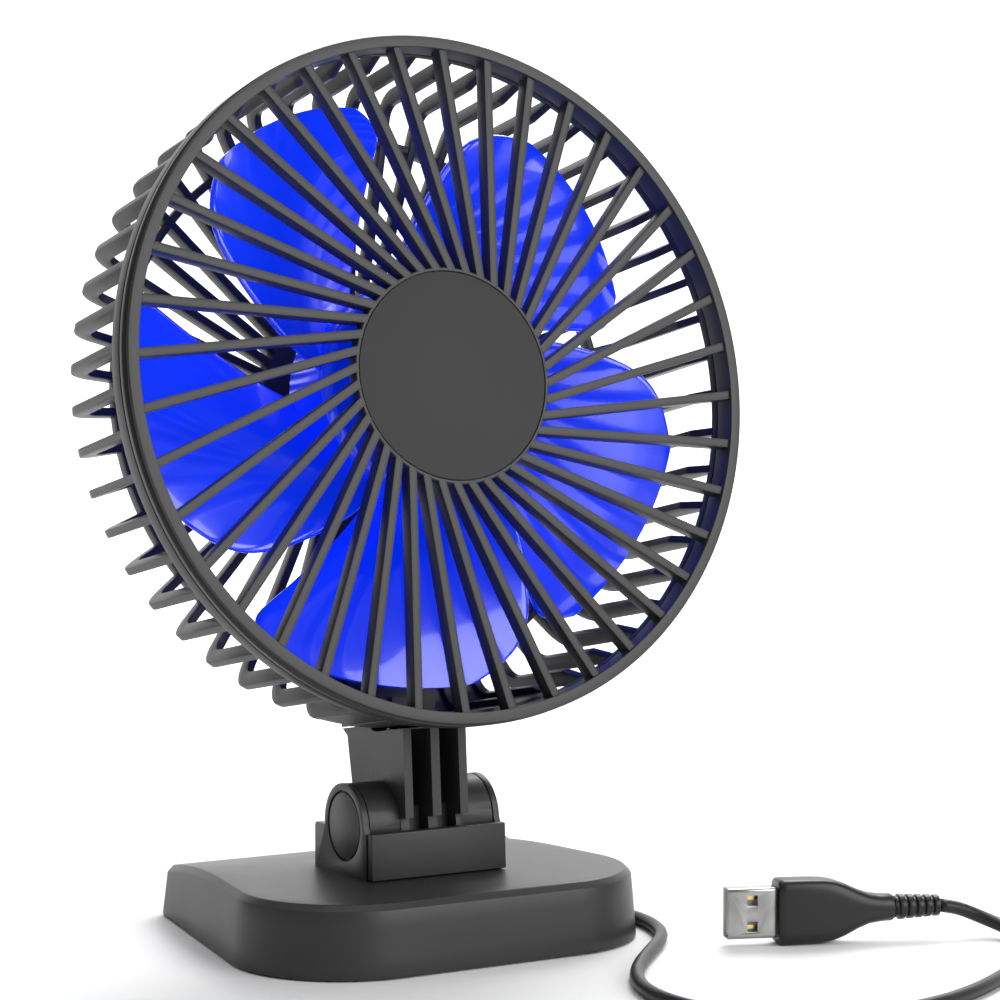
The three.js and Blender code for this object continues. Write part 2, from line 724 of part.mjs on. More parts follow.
// front panel of the hinge bracket, with two tongues that clip between the ears
const PANEL_FRONT = -22.9;
const PANEL_BACK = -20.5;
function frontPanel() {
  const plate = box(-18.1, 18.1, PANEL_FRONT, PANEL_BACK, BASE_TOP + GAP, 28);
  const tongues = [-1, 1].map((s) => {
    const ends = [s * 12, s * 16].sort((a, b) => a - b);
    return box(...ends, PANEL_BACK - 0.5, -17, BASE_TOP + GAP, 18.4);
  });
  return join(plate, ...tongues);
}
piece(base, "front_panel", frontPanel(), charcoal);

// hinge bolt, nut, friction washers and the round caps that hide them
const boltHead = rod("x", 3.7, -17.1, -15.7, AXIS_Y, AXIS_Z, 16);
piece(base, "hinge_bolt", boltHead.add(rod("x", BOLT_R, -15.8, 17.2, AXIS_Y, AXIS_Z, 16)), steel);
const nut = rod("x", 3.9, 15.7, 17.1, AXIS_Y, AXIS_Z, 6);
piece(base, "hinge_nut", nut.subtract(rod("x", BOLT_R + GAP, 10, 20, AXIS_Y, AXIS_Z, 16)), steel);
for (const [side, s] of [["left", -1], ["right", 1]]) {
  const ends = [s * 12.7, s * 13.1].sort((a, b) => a - b);
  const washer = rod("x", 7.2, ...ends, AXIS_Y, AXIS_Z, 24);
  piece(base, "hinge_washer_" + side, washer.subtract(rod("x", 2.4, -20, 20, AXIS_Y, AXIS_Z, 16)), steel);
  const capEnds = [s * 17.7, s * 18.4].sort((a, b) => a - b);
  piece(base, "hinge_cap_" + side, rod("x", CAP_R, ...capEnds, AXIS_Y, AXIS_Z, 32), charcoal);
}

// circuit board, switch, button and the lead up to the hinge
const BOARD_TOP = 4.6;
piece(base, "circuit_board", box(-12, 26, 25, 42, PLATE_TOP + GAP, BOARD_TOP), boardGreen);
piece(base, "switch_body", box(14, 22, 33.5, 41.2, BOARD_TOP + GAP, 9.2), black);
const button = rod("y", BUTTON_R, 43, 48.3, BUTTON_X, BUTTON_Z, 24);
const flange = box(BUTTON_X - 4.5, BUTTON_X + 4.5, 43.7, 44.8, BUTTON_Z - 3, BUTTON_Z + 3);
piece(base, "power_button", button.add(flange), black);
piece(
  base,
  "base_lead",
  tube(
    [
      [0, 22, 5.8],
      [0, 16, 6],
      [0, 6, 7],
      [0, -3, 9.5],
      [0, -8, 13],
      [0, -9.3, 16.8],
    ],
    0.9,
    8,
    12,
  ),
  rubber,
);

// ---------- cord: strain relief, two free stretches, the tied coil and the plug ----------
const relief = [
  [0, 43.3],
  [2.6, 43.3],
  [2.6, 48.7],
  [3.5, 48.7],
  [3.4, 51],
  [2.1, 60.4],
  [0, 60.4],
];
const reliefFlange = box(CORD_X - 4.2, CORD_X + 4.2, 43.2, 44.9, CORD_Z - 2.8, CORD_Z + 3);
const reliefBody = turned(relief, 20).translate(CORD_X, 0, CORD_Z);
piece(base, "strain_relief", reliefBody.add(reliefFlange), rubber);

const FLOOR = CORD_R + 0.05;
const CORD_TO_COIL = [
  [CORD_X, 60.7, CORD_Z],
  [CORD_X, 64, 6.1],
  [-17.8, 67.5, 5.3],
  [-16.6, 71.5, 3.9],
  [-13.8, 74.8, 2.6],
  [-9.5, 76.6, 1.8],
  [-4, 77.2, FLOOR],
  [2, 77.2, FLOOR],
  [8, 77.6, FLOOR],
  [13, 79.3, FLOOR],
  [17.3, 82.6, 1.9],
  [20.9, 86.3, 2.3],
];
const CORD_TO_PLUG = [
  [67.6, 62, 6.9],
  [66.4, 54, 5],
  [63.4, 45, 3],
  [59.4, 36, FLOOR],
  [55.8, 25, FLOOR],
  [53.4, 13, FLOOR],
  [52.8, 0, FLOOR],
  [53.6, -12, FLOOR],
  [54.4, -23, FLOOR],
  [53.2, -33, FLOOR],
  [49.4, -42.5, FLOOR],
  [43.4, -50.5, FLOOR],
  [35.6, -58.5, FLOOR],
  [27.4, -67, FLOOR],
  [19.8, -76.5, FLOOR],
  [14.2, -87, FLOOR],
  [11.6, -98, FLOOR],
  [12.6, -109, FLOOR],
  [17.6, -119, FLOOR],
  [26, -126.6, FLOOR],
  [37, -131.2, FLOOR],
  [49, -132.6, FLOOR],
  [61, -131, FLOOR],
  [73, -127, FLOOR],
  [84.4, -121.4, FLOOR],
  [95.4, -115, FLOOR],
  [105.8, -108, FLOOR],
  [114.6, -100.4, FLOOR],
  [119.6, -92.6, 1.8],
  [120.4, -85.4, 2.8],
  [117.4, -79.6, 4.8],
  [113, -76.6, 6.8],
  [108.5, -74.8, 7.8],
];
piece(base, "usb_cord", tube(CORD_TO_COIL, CORD_R, 8, 14), rubber);
piece(base, "usb_cord_end", tube(CORD_TO_PLUG, CORD_R, 8, 48), rubber);

const COIL_HALF = 5; // half the coil's section
const COIL_TOP = COIL_FLOOR + 2 * COIL_HALF - 0.2;
const coil = turned(
  [
    [COIL_MEAN_R - COIL_HALF, COIL_FLOOR],
    [COIL_MEAN_R + COIL_HALF, COIL_FLOOR],
    [COIL_MEAN_R + COIL_HALF, COIL_TOP],
    [COIL_MEAN_R - COIL_HALF, COIL_TOP],
  ],
  36,
);
piece(base, "cord_coil", coil.rotate(90, 0, 0).translate(COIL_X, COIL_Y, 0), rubber);
const TIE_THICK = 0.4;
function cordTie() {
  const r0 = COIL_MEAN_R - COIL_HALF - GAP;
  const r1 = COIL_MEAN_R + COIL_HALF + GAP;
  const hole = box(r0, r1, -3, 3, COIL_FLOOR - GAP, COIL_TOP + GAP);
  const band = box(r0 - TIE_THICK, r1 + TIE_THICK, -2.5, 2.5, COIL_FLOOR - GAP - TIE_THICK, COIL_TOP + GAP + TIE_THICK);
  return band.subtract(hole).rotate(0, 0, TIE_ANGLE).translate(COIL_X, COIL_Y, 0);
}
const TIE_ANGLE = 60;
piece(base, "cord_tie", cordTie(), black);

// the plug lies on its narrow side, facing the front: its own +x runs from the cord to the tip
const plug = new THREE.Group();
base.add(plug);
const PLUG_TURN = 160; // degrees
plug.position.set(108.2, -74.7, 7.85);
plug.rotation.set(Math.PI / 2, 0, THREE.MathUtils.degToRad(PLUG_TURN), "ZYX");

function flatX(outline, half) {
  const shape = new THREE.Shape(outline.map(([x, y]) => new THREE.Vector2(x, y)));
  const g = new THREE.ExtrudeGeometry(shape, { depth: 2 * half, bevelEnabled: false });
  return solid(g.translate(0, 0, -half));
}
const RELIEF_LONG = 11.6;
const BODY_END = RELIEF_LONG + GAP + 28.8;
const PLUG_BODY = [
  [RELIEF_LONG + GAP, -3],
  [17, -3.3],
  [22.5, -5.6],
  [28.5, -7.6],
  [BODY_END, -7.75],
];
const mirrored = PLUG_BODY.map(([x, y]) => [x, -y]).reverse();
piece(plug, "usb_plug_body", flatX([...PLUG_BODY, ...mirrored], 4), black);
piece(plug, "plug_relief", rod("x", 2.3, GAP, RELIEF_LONG, 0, 0, 16, 3), black);
const SHELL_START = BODY_END + GAP;
const SHELL_END = SHELL_START + 12;
const shellOuter = box(SHELL_START, SHELL_END, -6, 6, -2.25, 2.25);
const shellInner = box(SHELL_START + 0.6, SHELL_END + 1, -5.65, 5.65, -1.9, 1.9);
const windows = [-1, 1].map((s) => box(SHELL_START + 4.8, SHELL_START + 7.3, s * 3.1 - 1.2, s * 3.1 + 1.2, -4, 0));
piece(plug, "usb_shell", cut(shellOuter, shellInner, ...windows), steel);
piece(plug, "usb_tongue", box(SHELL_START + 0.9, SHELL_END - 0.5, -5.3, 5.3, -0.2, 1.6), white);

export default part;
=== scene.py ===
"""A small USB desk fan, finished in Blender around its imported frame.

Sizes are in millimetres until a piece is placed. The base's frame is the part's own. The head's frame has its origin
on the hinge axis, and the fan's frame lies in the guard's ring plane with y as its axis, + to the rear.
"""

import json
import math

import bmesh
import bpy
from mathutils import Matrix, Vector

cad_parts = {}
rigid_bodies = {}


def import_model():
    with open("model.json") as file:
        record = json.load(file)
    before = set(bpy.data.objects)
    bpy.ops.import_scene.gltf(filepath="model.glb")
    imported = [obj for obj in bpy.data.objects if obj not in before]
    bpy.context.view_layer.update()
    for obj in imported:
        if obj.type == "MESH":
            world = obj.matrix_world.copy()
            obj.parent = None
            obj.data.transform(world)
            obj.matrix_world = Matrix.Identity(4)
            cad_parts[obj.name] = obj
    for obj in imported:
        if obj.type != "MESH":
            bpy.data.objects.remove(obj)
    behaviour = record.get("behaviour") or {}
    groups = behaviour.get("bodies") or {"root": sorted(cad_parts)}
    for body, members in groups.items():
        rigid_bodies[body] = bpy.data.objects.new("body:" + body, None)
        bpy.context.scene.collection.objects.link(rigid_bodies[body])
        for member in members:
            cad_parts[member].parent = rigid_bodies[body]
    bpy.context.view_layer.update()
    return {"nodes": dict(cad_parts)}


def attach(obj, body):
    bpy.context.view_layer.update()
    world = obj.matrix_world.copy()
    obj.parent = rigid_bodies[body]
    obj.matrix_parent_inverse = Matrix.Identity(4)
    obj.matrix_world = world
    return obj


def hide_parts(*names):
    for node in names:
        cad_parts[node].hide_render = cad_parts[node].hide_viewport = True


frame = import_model()


MM = 0.001

# ---------- sizes that several pieces share, in millimetres ----------
AXIS_Y = -9.0  # the hinge's axis
AXIS_Z = 28.2
RING_AHEAD = 35.75  # from the hinge's axis to the guard's ring plane, along the head
RING_ABOVE = 101.7
RING_R = 81.3
RING_INNER_R = 78.2
SKIRT_R = 80.05  # where the rear ring slips over the front one
HUB_PLATE_R = 25.6
RIB_R = 79.9
RIB_BAND = 4.0
CORNER_R = 72.9  # centre of the round corner that the ribs and the closed floor share
CORNER_Y = 34.0
CAGE_BACK = 41.0
CAGE_SLOPE = 0.2  # how much deeper the cage gets for each mm inwards
HOOP_R = 67.0
MOUNT_R = 26.5
SPINE_HALF = 9.5
SPINE_FRONT = 43.6
SPINE_BACK = 50.6
SPINE_FOOT = 78.0  # how far under the fan's axis the spine and its cover end
COVER_BACK = 52.5
NECK_HALF = 8.5
BARREL_HALF = 16.55
BASE_HALF_DEPTH = 48.5
BUTTON_AT = (18, 6.7)  # across and up, in the back of the base
CORD_AT = (-18, 6.3)
MOTOR_SCREW_X = 10
NECK_SCREW_X = 4.2
COVER_SCREWS = [(-20, 8), (20, 8), (5.6, -70)]
POSTS = [(-33, 33), (33, 33), (-38, -30), (38, -30)]
FEET = [(-27, 38), (27, 38), (-33, -36), (33, -36)]

TILT = math.radians(9.3)
BASE = Matrix.Identity(4)
HEAD = Matrix.Translation((0, AXIS_Y, AXIS_Z)) @ Matrix.Rotation(-TILT, 4, "X")
FAN = HEAD @ Matrix.Translation((0, -RING_AHEAD, RING_ABOVE))

# ---------- camera and light ----------
YAW = math.radians(30.66)
PITCH = math.radians(1.625)


def camera():
    data = bpy.data.cameras.new("camera")
    data.lens = 87.36
    data.sensor_width = 36
    data.clip_start = 0.01
    obj = bpy.data.objects.new("camera", data)
    bpy.context.collection.objects.link(obj)
    obj.location = (-0.27835, -0.52005, 0.12164)
    obj.rotation_euler = (math.pi / 2 - PITCH, 0, -YAW)
    bpy.context.scene.camera = obj


def softbox(name, place, target, size, power):
    data = bpy.data.lights.new(name, "AREA")
    data.shape = "RECTANGLE"
    data.size, data.size_y = size
    data.energy = power
    obj = bpy.data.objects.new(name, data)
    bpy.context.collection.objects.link(obj)
    obj.location = place
    obj.rotation_euler = (Vector(target) - Vector(place)).to_track_quat("-Z", "Y").to_euler()


camera()
softbox("key_light", (0.7, 0.55, 1.1), (0, 0, 0.05), (0.7, 0.7), 13.5)
softbox("front_light", (0.55, -1.25, 0.6), (0, 0, 0.12), (1.2, 0.9), 15)
softbox("left_light", (-1.2, 0.45, 0.6), (0, 0, 0.1), (0.8, 1.0), 0.7)
softbox("top_light", (0.0, 0.1, 1.5), (0, 0, 0.1), (1.6, 1.2), 10)
world = bpy.data.worlds.new("studio")
bpy.context.scene.world = world
world.use_nodes = True
world.node_tree.nodes["Background"].inputs["Color"].default_value = (1, 1, 1, 1)
world.node_tree.nodes["Background"].inputs["Strength"].default_value = 0.25
bpy.context.scene.view_settings.view_transform = "Standard"


# ---------- finishes ----------
class Socket:
    """A shader socket that can be used in arithmetic; each operation adds its Math node."""

    def __init__(self, finish, socket):
        self.finish = finish
        self.socket = socket

    def _math(self, operation, a, b):
        return self.finish.node("ShaderNodeMath", {"operation": operation}, {0: a, 1: b}).out("Value")

    def __add__(self, other):
        return self._math("ADD", self, other)

    def __mul__(self, other):
        return self._math("MULTIPLY", self, other)

    __radd__ = __add__
    __rmul__ = __mul__


class Node:
    def __init__(self, finish, node):
        self.finish = finish
        self.node = node

    def out(self, name):
        return Socket(self.finish, self.node.outputs[name])


class Finish:
    """A material, and one way to add a node: its type, its settings, then its sockets' values or links."""

    def __init__(self, name):
        self.material = bpy.data.materials.new(name)
        self.material.use_nodes = True
        self.tree = self.material.node_tree
        self.shader = self.tree.nodes["Principled BSDF"]

    def _plug(self, socket, value):
        if isinstance(value, Socket):
            self.tree.links.new(value.socket, socket)
        else:
            socket.default_value = value

    def node(self, kind, settings=None, sockets=None):
        made = self.tree.nodes.new(kind)
        for key, value in (settings or {}).items():
            setattr(made, key, value)
        for key, value in (sockets or {}).items():
            self._plug(made.inputs[key], value)
        return Node(self, made)

    def set(self, **values):
        for key, value in values.items():
            self._plug(self.shader.inputs[key.replace("_", " ").title()], value)
        return self

    def place(self, scale=(1, 1, 1)):
        coordinates = self.node("ShaderNodeTexCoord").out("Object")
        return self.node("ShaderNodeMapping", None, {"Vector": coordinates, "Scale": scale}).out("Vector")

    def noise(self, scale, detail, stretch=(1, 1, 1)):
        values = {"Vector": self.place(stretch), "Scale": scale, "Detail": detail, "Roughness": 0.5}
        return self.node("ShaderNodeTexNoise", None, values).out("Fac")

    def mix(self, factor, a, b):
        """Two colours mixed; the node's colour sockets share their names with its other kinds, so they go by place."""
        sockets = {0: factor, 6: a, 7: b}
        return self.node("ShaderNodeMix", {"data_type": "RGBA"}, sockets).out(2)

    def bump(self, height, strength, distance):
        values = {"Height": height, "Strength": strength, "Distance": distance}
        return self.node("ShaderNodeBump", None, values).out("Normal")


def shade(value, tint=(1, 1, 1)):
    return (value * tint[0], value * tint[1], value * tint[2], 1)


def moulded(name, dark, light, roughness, grain=0.12, tint=(1, 1, 1.02)):
    """Moulded plastic: a fine spark-eroded grain, and broad, faint changes in colour and gloss."""
    finish = Finish(name)
    finish.shader.inputs["Specular IOR Level"].default_value = 0.36
    broad = finish.noise(60, 3)
    fine = finish.noise(2600, 2)
    finish.set(base_color=finish.mix(broad, shade(dark, tint), shade(light, tint)))
    finish.set(roughness=broad * 0.08 + fine * 0.06 + (roughness - 0.07))
    finish.set(normal=finish.bump(fine, grain, 0.00005))
    return finish.material


def blue_with_painted_glow(name):
    """Clear-coated blue blades, a little lighter and smokier in broad drifts, as tinted plastic is, with a painted
    blue glow.
    """
    finish = Finish(name)
    drift = finish.noise(35, 2)
    finish.set(base_color=finish.mix(drift, (0.0, 0.022, 0.82, 1), (0.003, 0.05, 1.0, 1)))
    finish.set(roughness=drift * 0.08 + 0.16)
    finish.set(coat_weight=0.8, coat_roughness=0.05)
    # painted glow: a faint blue emission that stands in for light shining through the tinted plastic
    finish.set(emission_color=(0.0, 0.025, 1.0, 1), emission_strength=0.36)
    return finish.material


def metal(name, tint, value, roughness, grain=(1, 1, 1), scale=1500):
    """Plated or drawn metal with a fine grain that can run one way."""
    finish = Finish(name)
    lines = finish.noise(scale, 3, grain)
    finish.set(base_color=finish.mix(lines, shade(0.85 * value, tint), shade(value, tint)))
    finish.set(metallic=1.0, roughness=lines * 0.12 + (roughness - 0.06))
    finish.set(normal=finish.bump(lines, 0.05, 0.00003))
    return finish.material


def printed_board(name):
    """Solder mask with faint copper tracks under it."""
    finish = Finish(name)
    sockets = {"Vector": finish.place(), "Scale": 260.0, "Mortar Size": 0.04}
    cells = finish.node("ShaderNodeTexBrick", {"offset": 0.5}, sockets).out("Fac")
    finish.set(base_color=finish.mix(cells, (0.01, 0.09, 0.035, 1), (0.02, 0.2, 0.08, 1)))
    finish.set(roughness=cells * 0.1 + 0.3)
    return finish.material


GUARD = moulded("guard_plastic", 0.022, 0.029, 0.4)
BODY = moulded("base_plastic", 0.026, 0.032, 0.4)
CAP = moulded("centre_cap_plastic", 0.020, 0.023, 0.62, 0.06)
BLUE = blue_with_painted_glow("blue_plastic")
BLACK = moulded("black_plastic", 0.010, 0.014, 0.4)
PLUG_BLACK = moulded("plug_plastic", 0.011, 0.015, 0.33, 0.05)
CORD = moulded("cord_jacket", 0.012, 0.017, 0.42, 0.08)
RUBBER = moulded("foot_rubber", 0.014, 0.02, 0.8, 0.3)
WHITE = moulded("white_insert", 0.5, 0.56, 0.4, 0.03, (1, 1, 0.98))
NICKEL = metal("nickel_plate", (1, 0.99, 0.97), 0.4, 0.24)
SCREW = metal("screw_steel", (1, 1, 1), 0.5, 0.34)
GOLD = metal("contact_gold", (1, 0.76, 0.36), 0.9, 0.25)
COPPER = metal("winding_copper", (1, 0.5, 0.28), 0.6, 0.36, (1, 12, 1), 900)
BRONZE = metal("sintered_bronze", (1, 0.72, 0.42), 0.5, 0.5, (1, 1, 1), 3000)
BOARD = printed_board("circuit_board")


def studio_white(name):
    """A pale floor that glows softly further off, so that it fades into a white backdrop."""
    finish = Finish(name)
    place = finish.node("ShaderNodeTexCoord").out("Object")
    away = finish.node("ShaderNodeVectorMath", {"operation": "LENGTH"}, {0: place}).out("Value")
    reach = {"Value": away, "From Min": 0.16, "From Max": 1.0}
    glow = finish.node("ShaderNodeMapRange", None, reach).out("Result")
    finish.set(base_color=shade(0.86), roughness=0.6, emission_strength=0.85)
    finish.set(emission_color=finish.mix(glow, shade(0), shade(1)))
    return finish.material


FLOOR = studio_white("studio_floor")


# ---------- outlines and solids, in millimetres ----------
def rounded(outline, radius, steps=4):
    """A closed outline with its corners rounded; radius is one number, or one for each corner."""
    radii = radius if hasattr(radius, "__len__") else [radius] * len(outline)
    points = []
    for i, corner in enumerate(outline):
        here = Vector(corner)
        back = Vector(outline[i - 1]) - here
        on = Vector(outline[(i + 1) % len(outline)]) - here
        angle = back.angle(on, 0)
        if radii[i] <= 0 or angle < 0.02 or angle > math.pi - 0.02:
            points.append(tuple(here))
            continue
        reach = min(radii[i] / math.tan(angle / 2), 0.49 * back.length, 0.49 * on.length)
        r = reach * math.tan(angle / 2)
        centre = here + (back.normalized() + on.normalized()).normalized() * (r / math.sin(angle / 2))
        start = here + back.normalized() * reach - centre
        end = here + on.normalized() * reach - centre
        sweep = start.angle_signed(end)
        for k in range(steps + 1):
            turn = -sweep * k / steps
            points.append(tuple(centre + Matrix.Rotation(turn, 2) @ start))
    return points


def arc(cx, cy, r, start, end, steps):
    angles = [math.radians(start + (end - start) * k / steps) for k in range(steps + 1)]
    return [(cx + r * math.cos(a), cy + r * math.sin(a)) for a in angles]


def outward(bm):
    bmesh.ops.remove_doubles(bm, verts=bm.verts, dist=1e-4)
    bmesh.ops.recalc_face_normals(bm, faces=bm.faces)
    return bm


def lofted(rings, closed=False):
    """A skin over rings of points, with flat ends, or running back into its first ring."""
    bm = bmesh.new()
    made = [[bm.verts.new(p) for p in ring] for ring in rings]
    pairs = list(zip(made, made[1:]))
    if closed:
        pairs.append((made[-1], made[0]))
    for a, b in pairs:
        n = len(a)
        for i in range(n):
            j = (i + 1) % n
            bm.faces.new((a[i], a[j], b[j], b[i]))
    if not closed:
        bm.faces.new(made[0][::-1])
        bm.faces.new(made[-1])
    return outward(bm)


def turned(profile, steps=96, from_angle=0.0, to_angle=360.0):
    """A closed profile of (radius, y) turned about the y axis, all the way or part of it."""
    whole = to_angle - from_angle >= 360
    count = steps if whole else steps + 1
    rings = []
    for i in range(count):
        a = math.radians(from_angle + (to_angle - from_angle) * i / steps)
        rings.append([(r * math.sin(a), y, r * math.cos(a)) for r, y in profile])
    return lofted(rings, whole)


def prism(outline, low, high, edge=0.0, axis="x"):
    """A closed outline drawn out along an axis, with its end edges eased by edge."""
    ring = [Vector(p) for p in outline]
    area = sum(a.x * b.y - b.x * a.y for a, b in zip(ring, ring[1:] + ring[:1]))
    sign = 1 if area > 0 else -1
    inner = []
    for i, p in enumerate(ring):
        d = (ring[(i + 1) % len(ring)] - ring[i - 1]).normalized()
        inner.append(p + Vector((-d.y, d.x)) * (edge * sign))
    stations = [(low, ring), (high, ring)]
    if edge > 0:
        half = [p.lerp(q, 0.3) for p, q in zip(ring, inner)]
        ends = [(0, inner), (0.3 * edge, half), (edge, ring)]
        stations = [(low + d, r) for d, r in ends] + [(high - d, r) for d, r in reversed(ends)]
    place = {
        "x": lambda p, t: (t, p.x, p.y),
        "y": lambda p, t: (p.x, t, p.y),
        "z": lambda p, t: (p.x, p.y, t),
    }[axis]
    return lofted([[place(p, t) for p in r] for t, r in stations])


def block(x0, x1, y0, y1, z0, z1):
    return prism([(x0, y0), (x1, y0), (x1, y1), (x0, y1)], z0, z1, 0, "z")


def cylinder(axis, radius, low, high, u, v, steps=48, edge=0.0):
    return prism(arc(u, v, radius, 0, 360 - 360 / steps, steps - 1), low, high, edge, axis)


def as_object(name, bm):
    data = bpy.data.meshes.new(name)
    bm.to_mesh(data)
    bm.free()
    obj = bpy.data.objects.new(name, data)
    bpy.context.collection.objects.link(obj)
    return obj


def settled(obj):
    """The object with its modifiers made part of its mesh."""
    bpy.context.view_layer.update()
    evaluated = obj.evaluated_get(bpy.context.evaluated_depsgraph_get())
    data = bpy.data.meshes.new_from_object(evaluated)
    obj.modifiers.clear()
    obj.data = data
    return obj


def carved(name, solids, holes=(), edge=0.0, segments=2):
    """Solids joined, holes cut out of them, and the sharp edges then eased."""
    main = as_object(name, solids[0])
    tools = []
    for bm, operation in [(s, "UNION") for s in solids[1:]] + [(h, "DIFFERENCE") for h in holes]:
        tool = as_object(name + "_tool", bm)
        tools.append(tool)
        boolean = main.modifiers.new("cut", "BOOLEAN")
        boolean.operation = operation
        boolean.solver = "EXACT"
        boolean.object = tool
    if edge > 0:
        bevel = main.modifiers.new("edges", "BEVEL")
        bevel.width = edge
        bevel.segments = segments
        bevel.limit_method = "ANGLE"
        bevel.angle_limit = math.radians(35)
        bevel.use_clamp_overlap = True
    settled(main)
    for tool in tools:
        bpy.data.objects.remove(tool)
    return main


def placed(obj, matrix, material, body, stands_for=(), smooth=30):
    """Puts a finished piece in the part's frame, in metres, and ties it to its body."""
    obj.data.transform(Matrix.Scale(MM, 4) @ matrix)
    obj.data.update()
    obj.data.materials.clear()
    obj.data.materials.append(material)
    obj.data.shade_smooth()
    if smooth is not None:
        obj.data.set_sharp_from_angle(angle=math.radians(smooth))
    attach(obj, body)
    if stands_for:
        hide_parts(*stands_for)
    return obj


def guard_piece(obj, stands_for=()):
    return placed(obj, FAN, GUARD, "head", stands_for)


def base_piece(obj, stands_for=()):
    return placed(obj, BASE, BODY, "base", stands_for)


# ---------- node trees for what repeats ----------
class Tree:
    """A geometry node tree with named inputs, and short ways to add nodes to it."""

    def __init__(self, name, sizes):
        self.tree = bpy.data.node_groups.new(name, "GeometryNodeTree")
        face = self.tree.interface
        face.new_socket("Geometry", in_out="INPUT", socket_type="NodeSocketGeometry")
        self.ids = {}
        kinds = {float: "NodeSocketFloat", int: "NodeSocketInt"}
        for key, value in sizes.items():
            made = face.new_socket(key, in_out="INPUT", socket_type=kinds[type(value)])
            made.default_value = value
            self.ids[key] = made.identifier
        made = face.new_socket("Material", in_out="INPUT", socket_type="NodeSocketMaterial")
        self.ids["Material"] = made.identifier
        face.new_socket("Geometry", in_out="OUTPUT", socket_type="NodeSocketGeometry")
        self.inputs = self.tree.nodes.new("NodeGroupInput").outputs
        self.output = self.tree.nodes.new("NodeGroupOutput")

    def node(self, kind, settings=None, by_place=None, **by_name):
        """Adds a node: its settings first, then its sockets' values or links, a list where several go in."""
        made = self.tree.nodes.new(kind)
        for key, value in (settings or {}).items():
            setattr(made, key, value)
        sockets = dict(by_place or {})
        sockets.update((key.replace("_", " "), value) for key, value in by_name.items())
        for key, values in sockets.items():
            for value in values if isinstance(values, list) else [values]:
                if isinstance(value, bpy.types.NodeSocket):
                    self.tree.links.new(value, made.inputs[key])
                else:
                    made.inputs[key].default_value = value
        return made

    def add(self, *what, **by_name):
        """Adds a node, and gives its first output."""
        return self.node(*what, **by_name).outputs[0]

    def sum(self, operation, a, b=0.0):
        return self.add("ShaderNodeMath", {"operation": operation}, {0: a, 1: b})

    def xyz(self, x=0.0, y=0.0, z=0.0):
        return self.add("ShaderNodeCombineXYZ", X=x, Y=y, Z=z)

    def finish(self, geometry):
        real = self.add("GeometryNodeRealizeInstances", Geometry=geometry)
        last = self.add("GeometryNodeSetMaterial", Geometry=real, Material=self.inputs["Material"])
        self.tree.links.new(last, self.output.inputs[0])

    def build(self, name, sizes, material, geometry=None):
        """The tree's result for these sizes, as an object with a plain mesh."""
        obj = as_object(name, geometry or bmesh.new())
        modifier = obj.modifiers.new(name, "NODES")
        modifier.node_group = self.tree
        for key, value in sizes.items():
            modifier[self.ids[key]] = value
        modifier[self.ids["Material"]] = material
        return settled(obj)


def bar_section(tree, width, depth, easing):
    """A rounded rectangle to sweep along a bar's path."""
    flat = tree.add("GeometryNodeCurvePrimitiveQuadrilateral", Width=width, Height=depth)
    return tree.add("GeometryNodeFilletCurve", {"mode": "POLY"}, Curve=flat, Radius=easing, Count=2)


def around_axis(tree, shape, count, first, shift=0.0, skip_half=-1.0):
    """Copies of a shape round the y axis, leaving out those within skip_half degrees of the first direction.

    Shift moves every copy on by that share of the step between two of them.
    """
    places = tree.add("GeometryNodePoints", Count=count)
    step = tree.sum("DIVIDE", 360.0, count)
    index = tree.add("GeometryNodeInputIndex")
    turn = tree.sum("ADD", tree.sum("MULTIPLY", index, step), tree.sum("MULTIPLY", step, shift))
    # each place keeps its own angle when others are left out
    settings = {"data_type": "FLOAT", "domain": "POINT"}
    places = tree.add("GeometryNodeStoreNamedAttribute", settings, Geometry=places, Name="turn", Value=turn)
    turn = tree.add("GeometryNodeInputNamedAttribute", {"data_type": "FLOAT"}, Name="turn")
    near = tree.sum("MINIMUM", turn, tree.sum("SUBTRACT", 360.0, turn))
    skipped = tree.sum("LESS_THAN", near, skip_half)
    kept = tree.add("GeometryNodeDeleteGeometry", {"domain": "POINT"}, Geometry=places, Selection=skipped)
    rotation = tree.xyz(y=tree.sum("RADIANS", tree.sum("ADD", turn, first)))
    return tree.add("GeometryNodeInstanceOnPoints", Points=kept, Instance=shape, Rotation=rotation)


def spoke_tree():
    """Straight bars round an axis, each passing the axis at an offset."""
    sizes = {"Bars": 40, "Width": 2.1, "Depth": 4.0, "Easing": 0.25, "Offset": 11.5, "Inner": 22.0, "Outer": 77.6}
    tree = Tree("swept_spokes", {**sizes, "Turn": 0.0})
    g = tree.inputs
    start = tree.xyz(g["Offset"], 0.0, g["Inner"])
    end = tree.xyz(g["Offset"], 0.0, g["Outer"])
    path = tree.add("GeometryNodeCurvePrimitiveLine", Start=start, End=end)
    section = bar_section(tree, g["Width"], g["Depth"], g["Easing"])
    bar = tree.add("GeometryNodeCurveToMesh", Curve=path, Profile_Curve=section, Fill_Caps=True)
    tree.finish(around_axis(tree, bar, g["Bars"], g["Turn"]))
    return tree


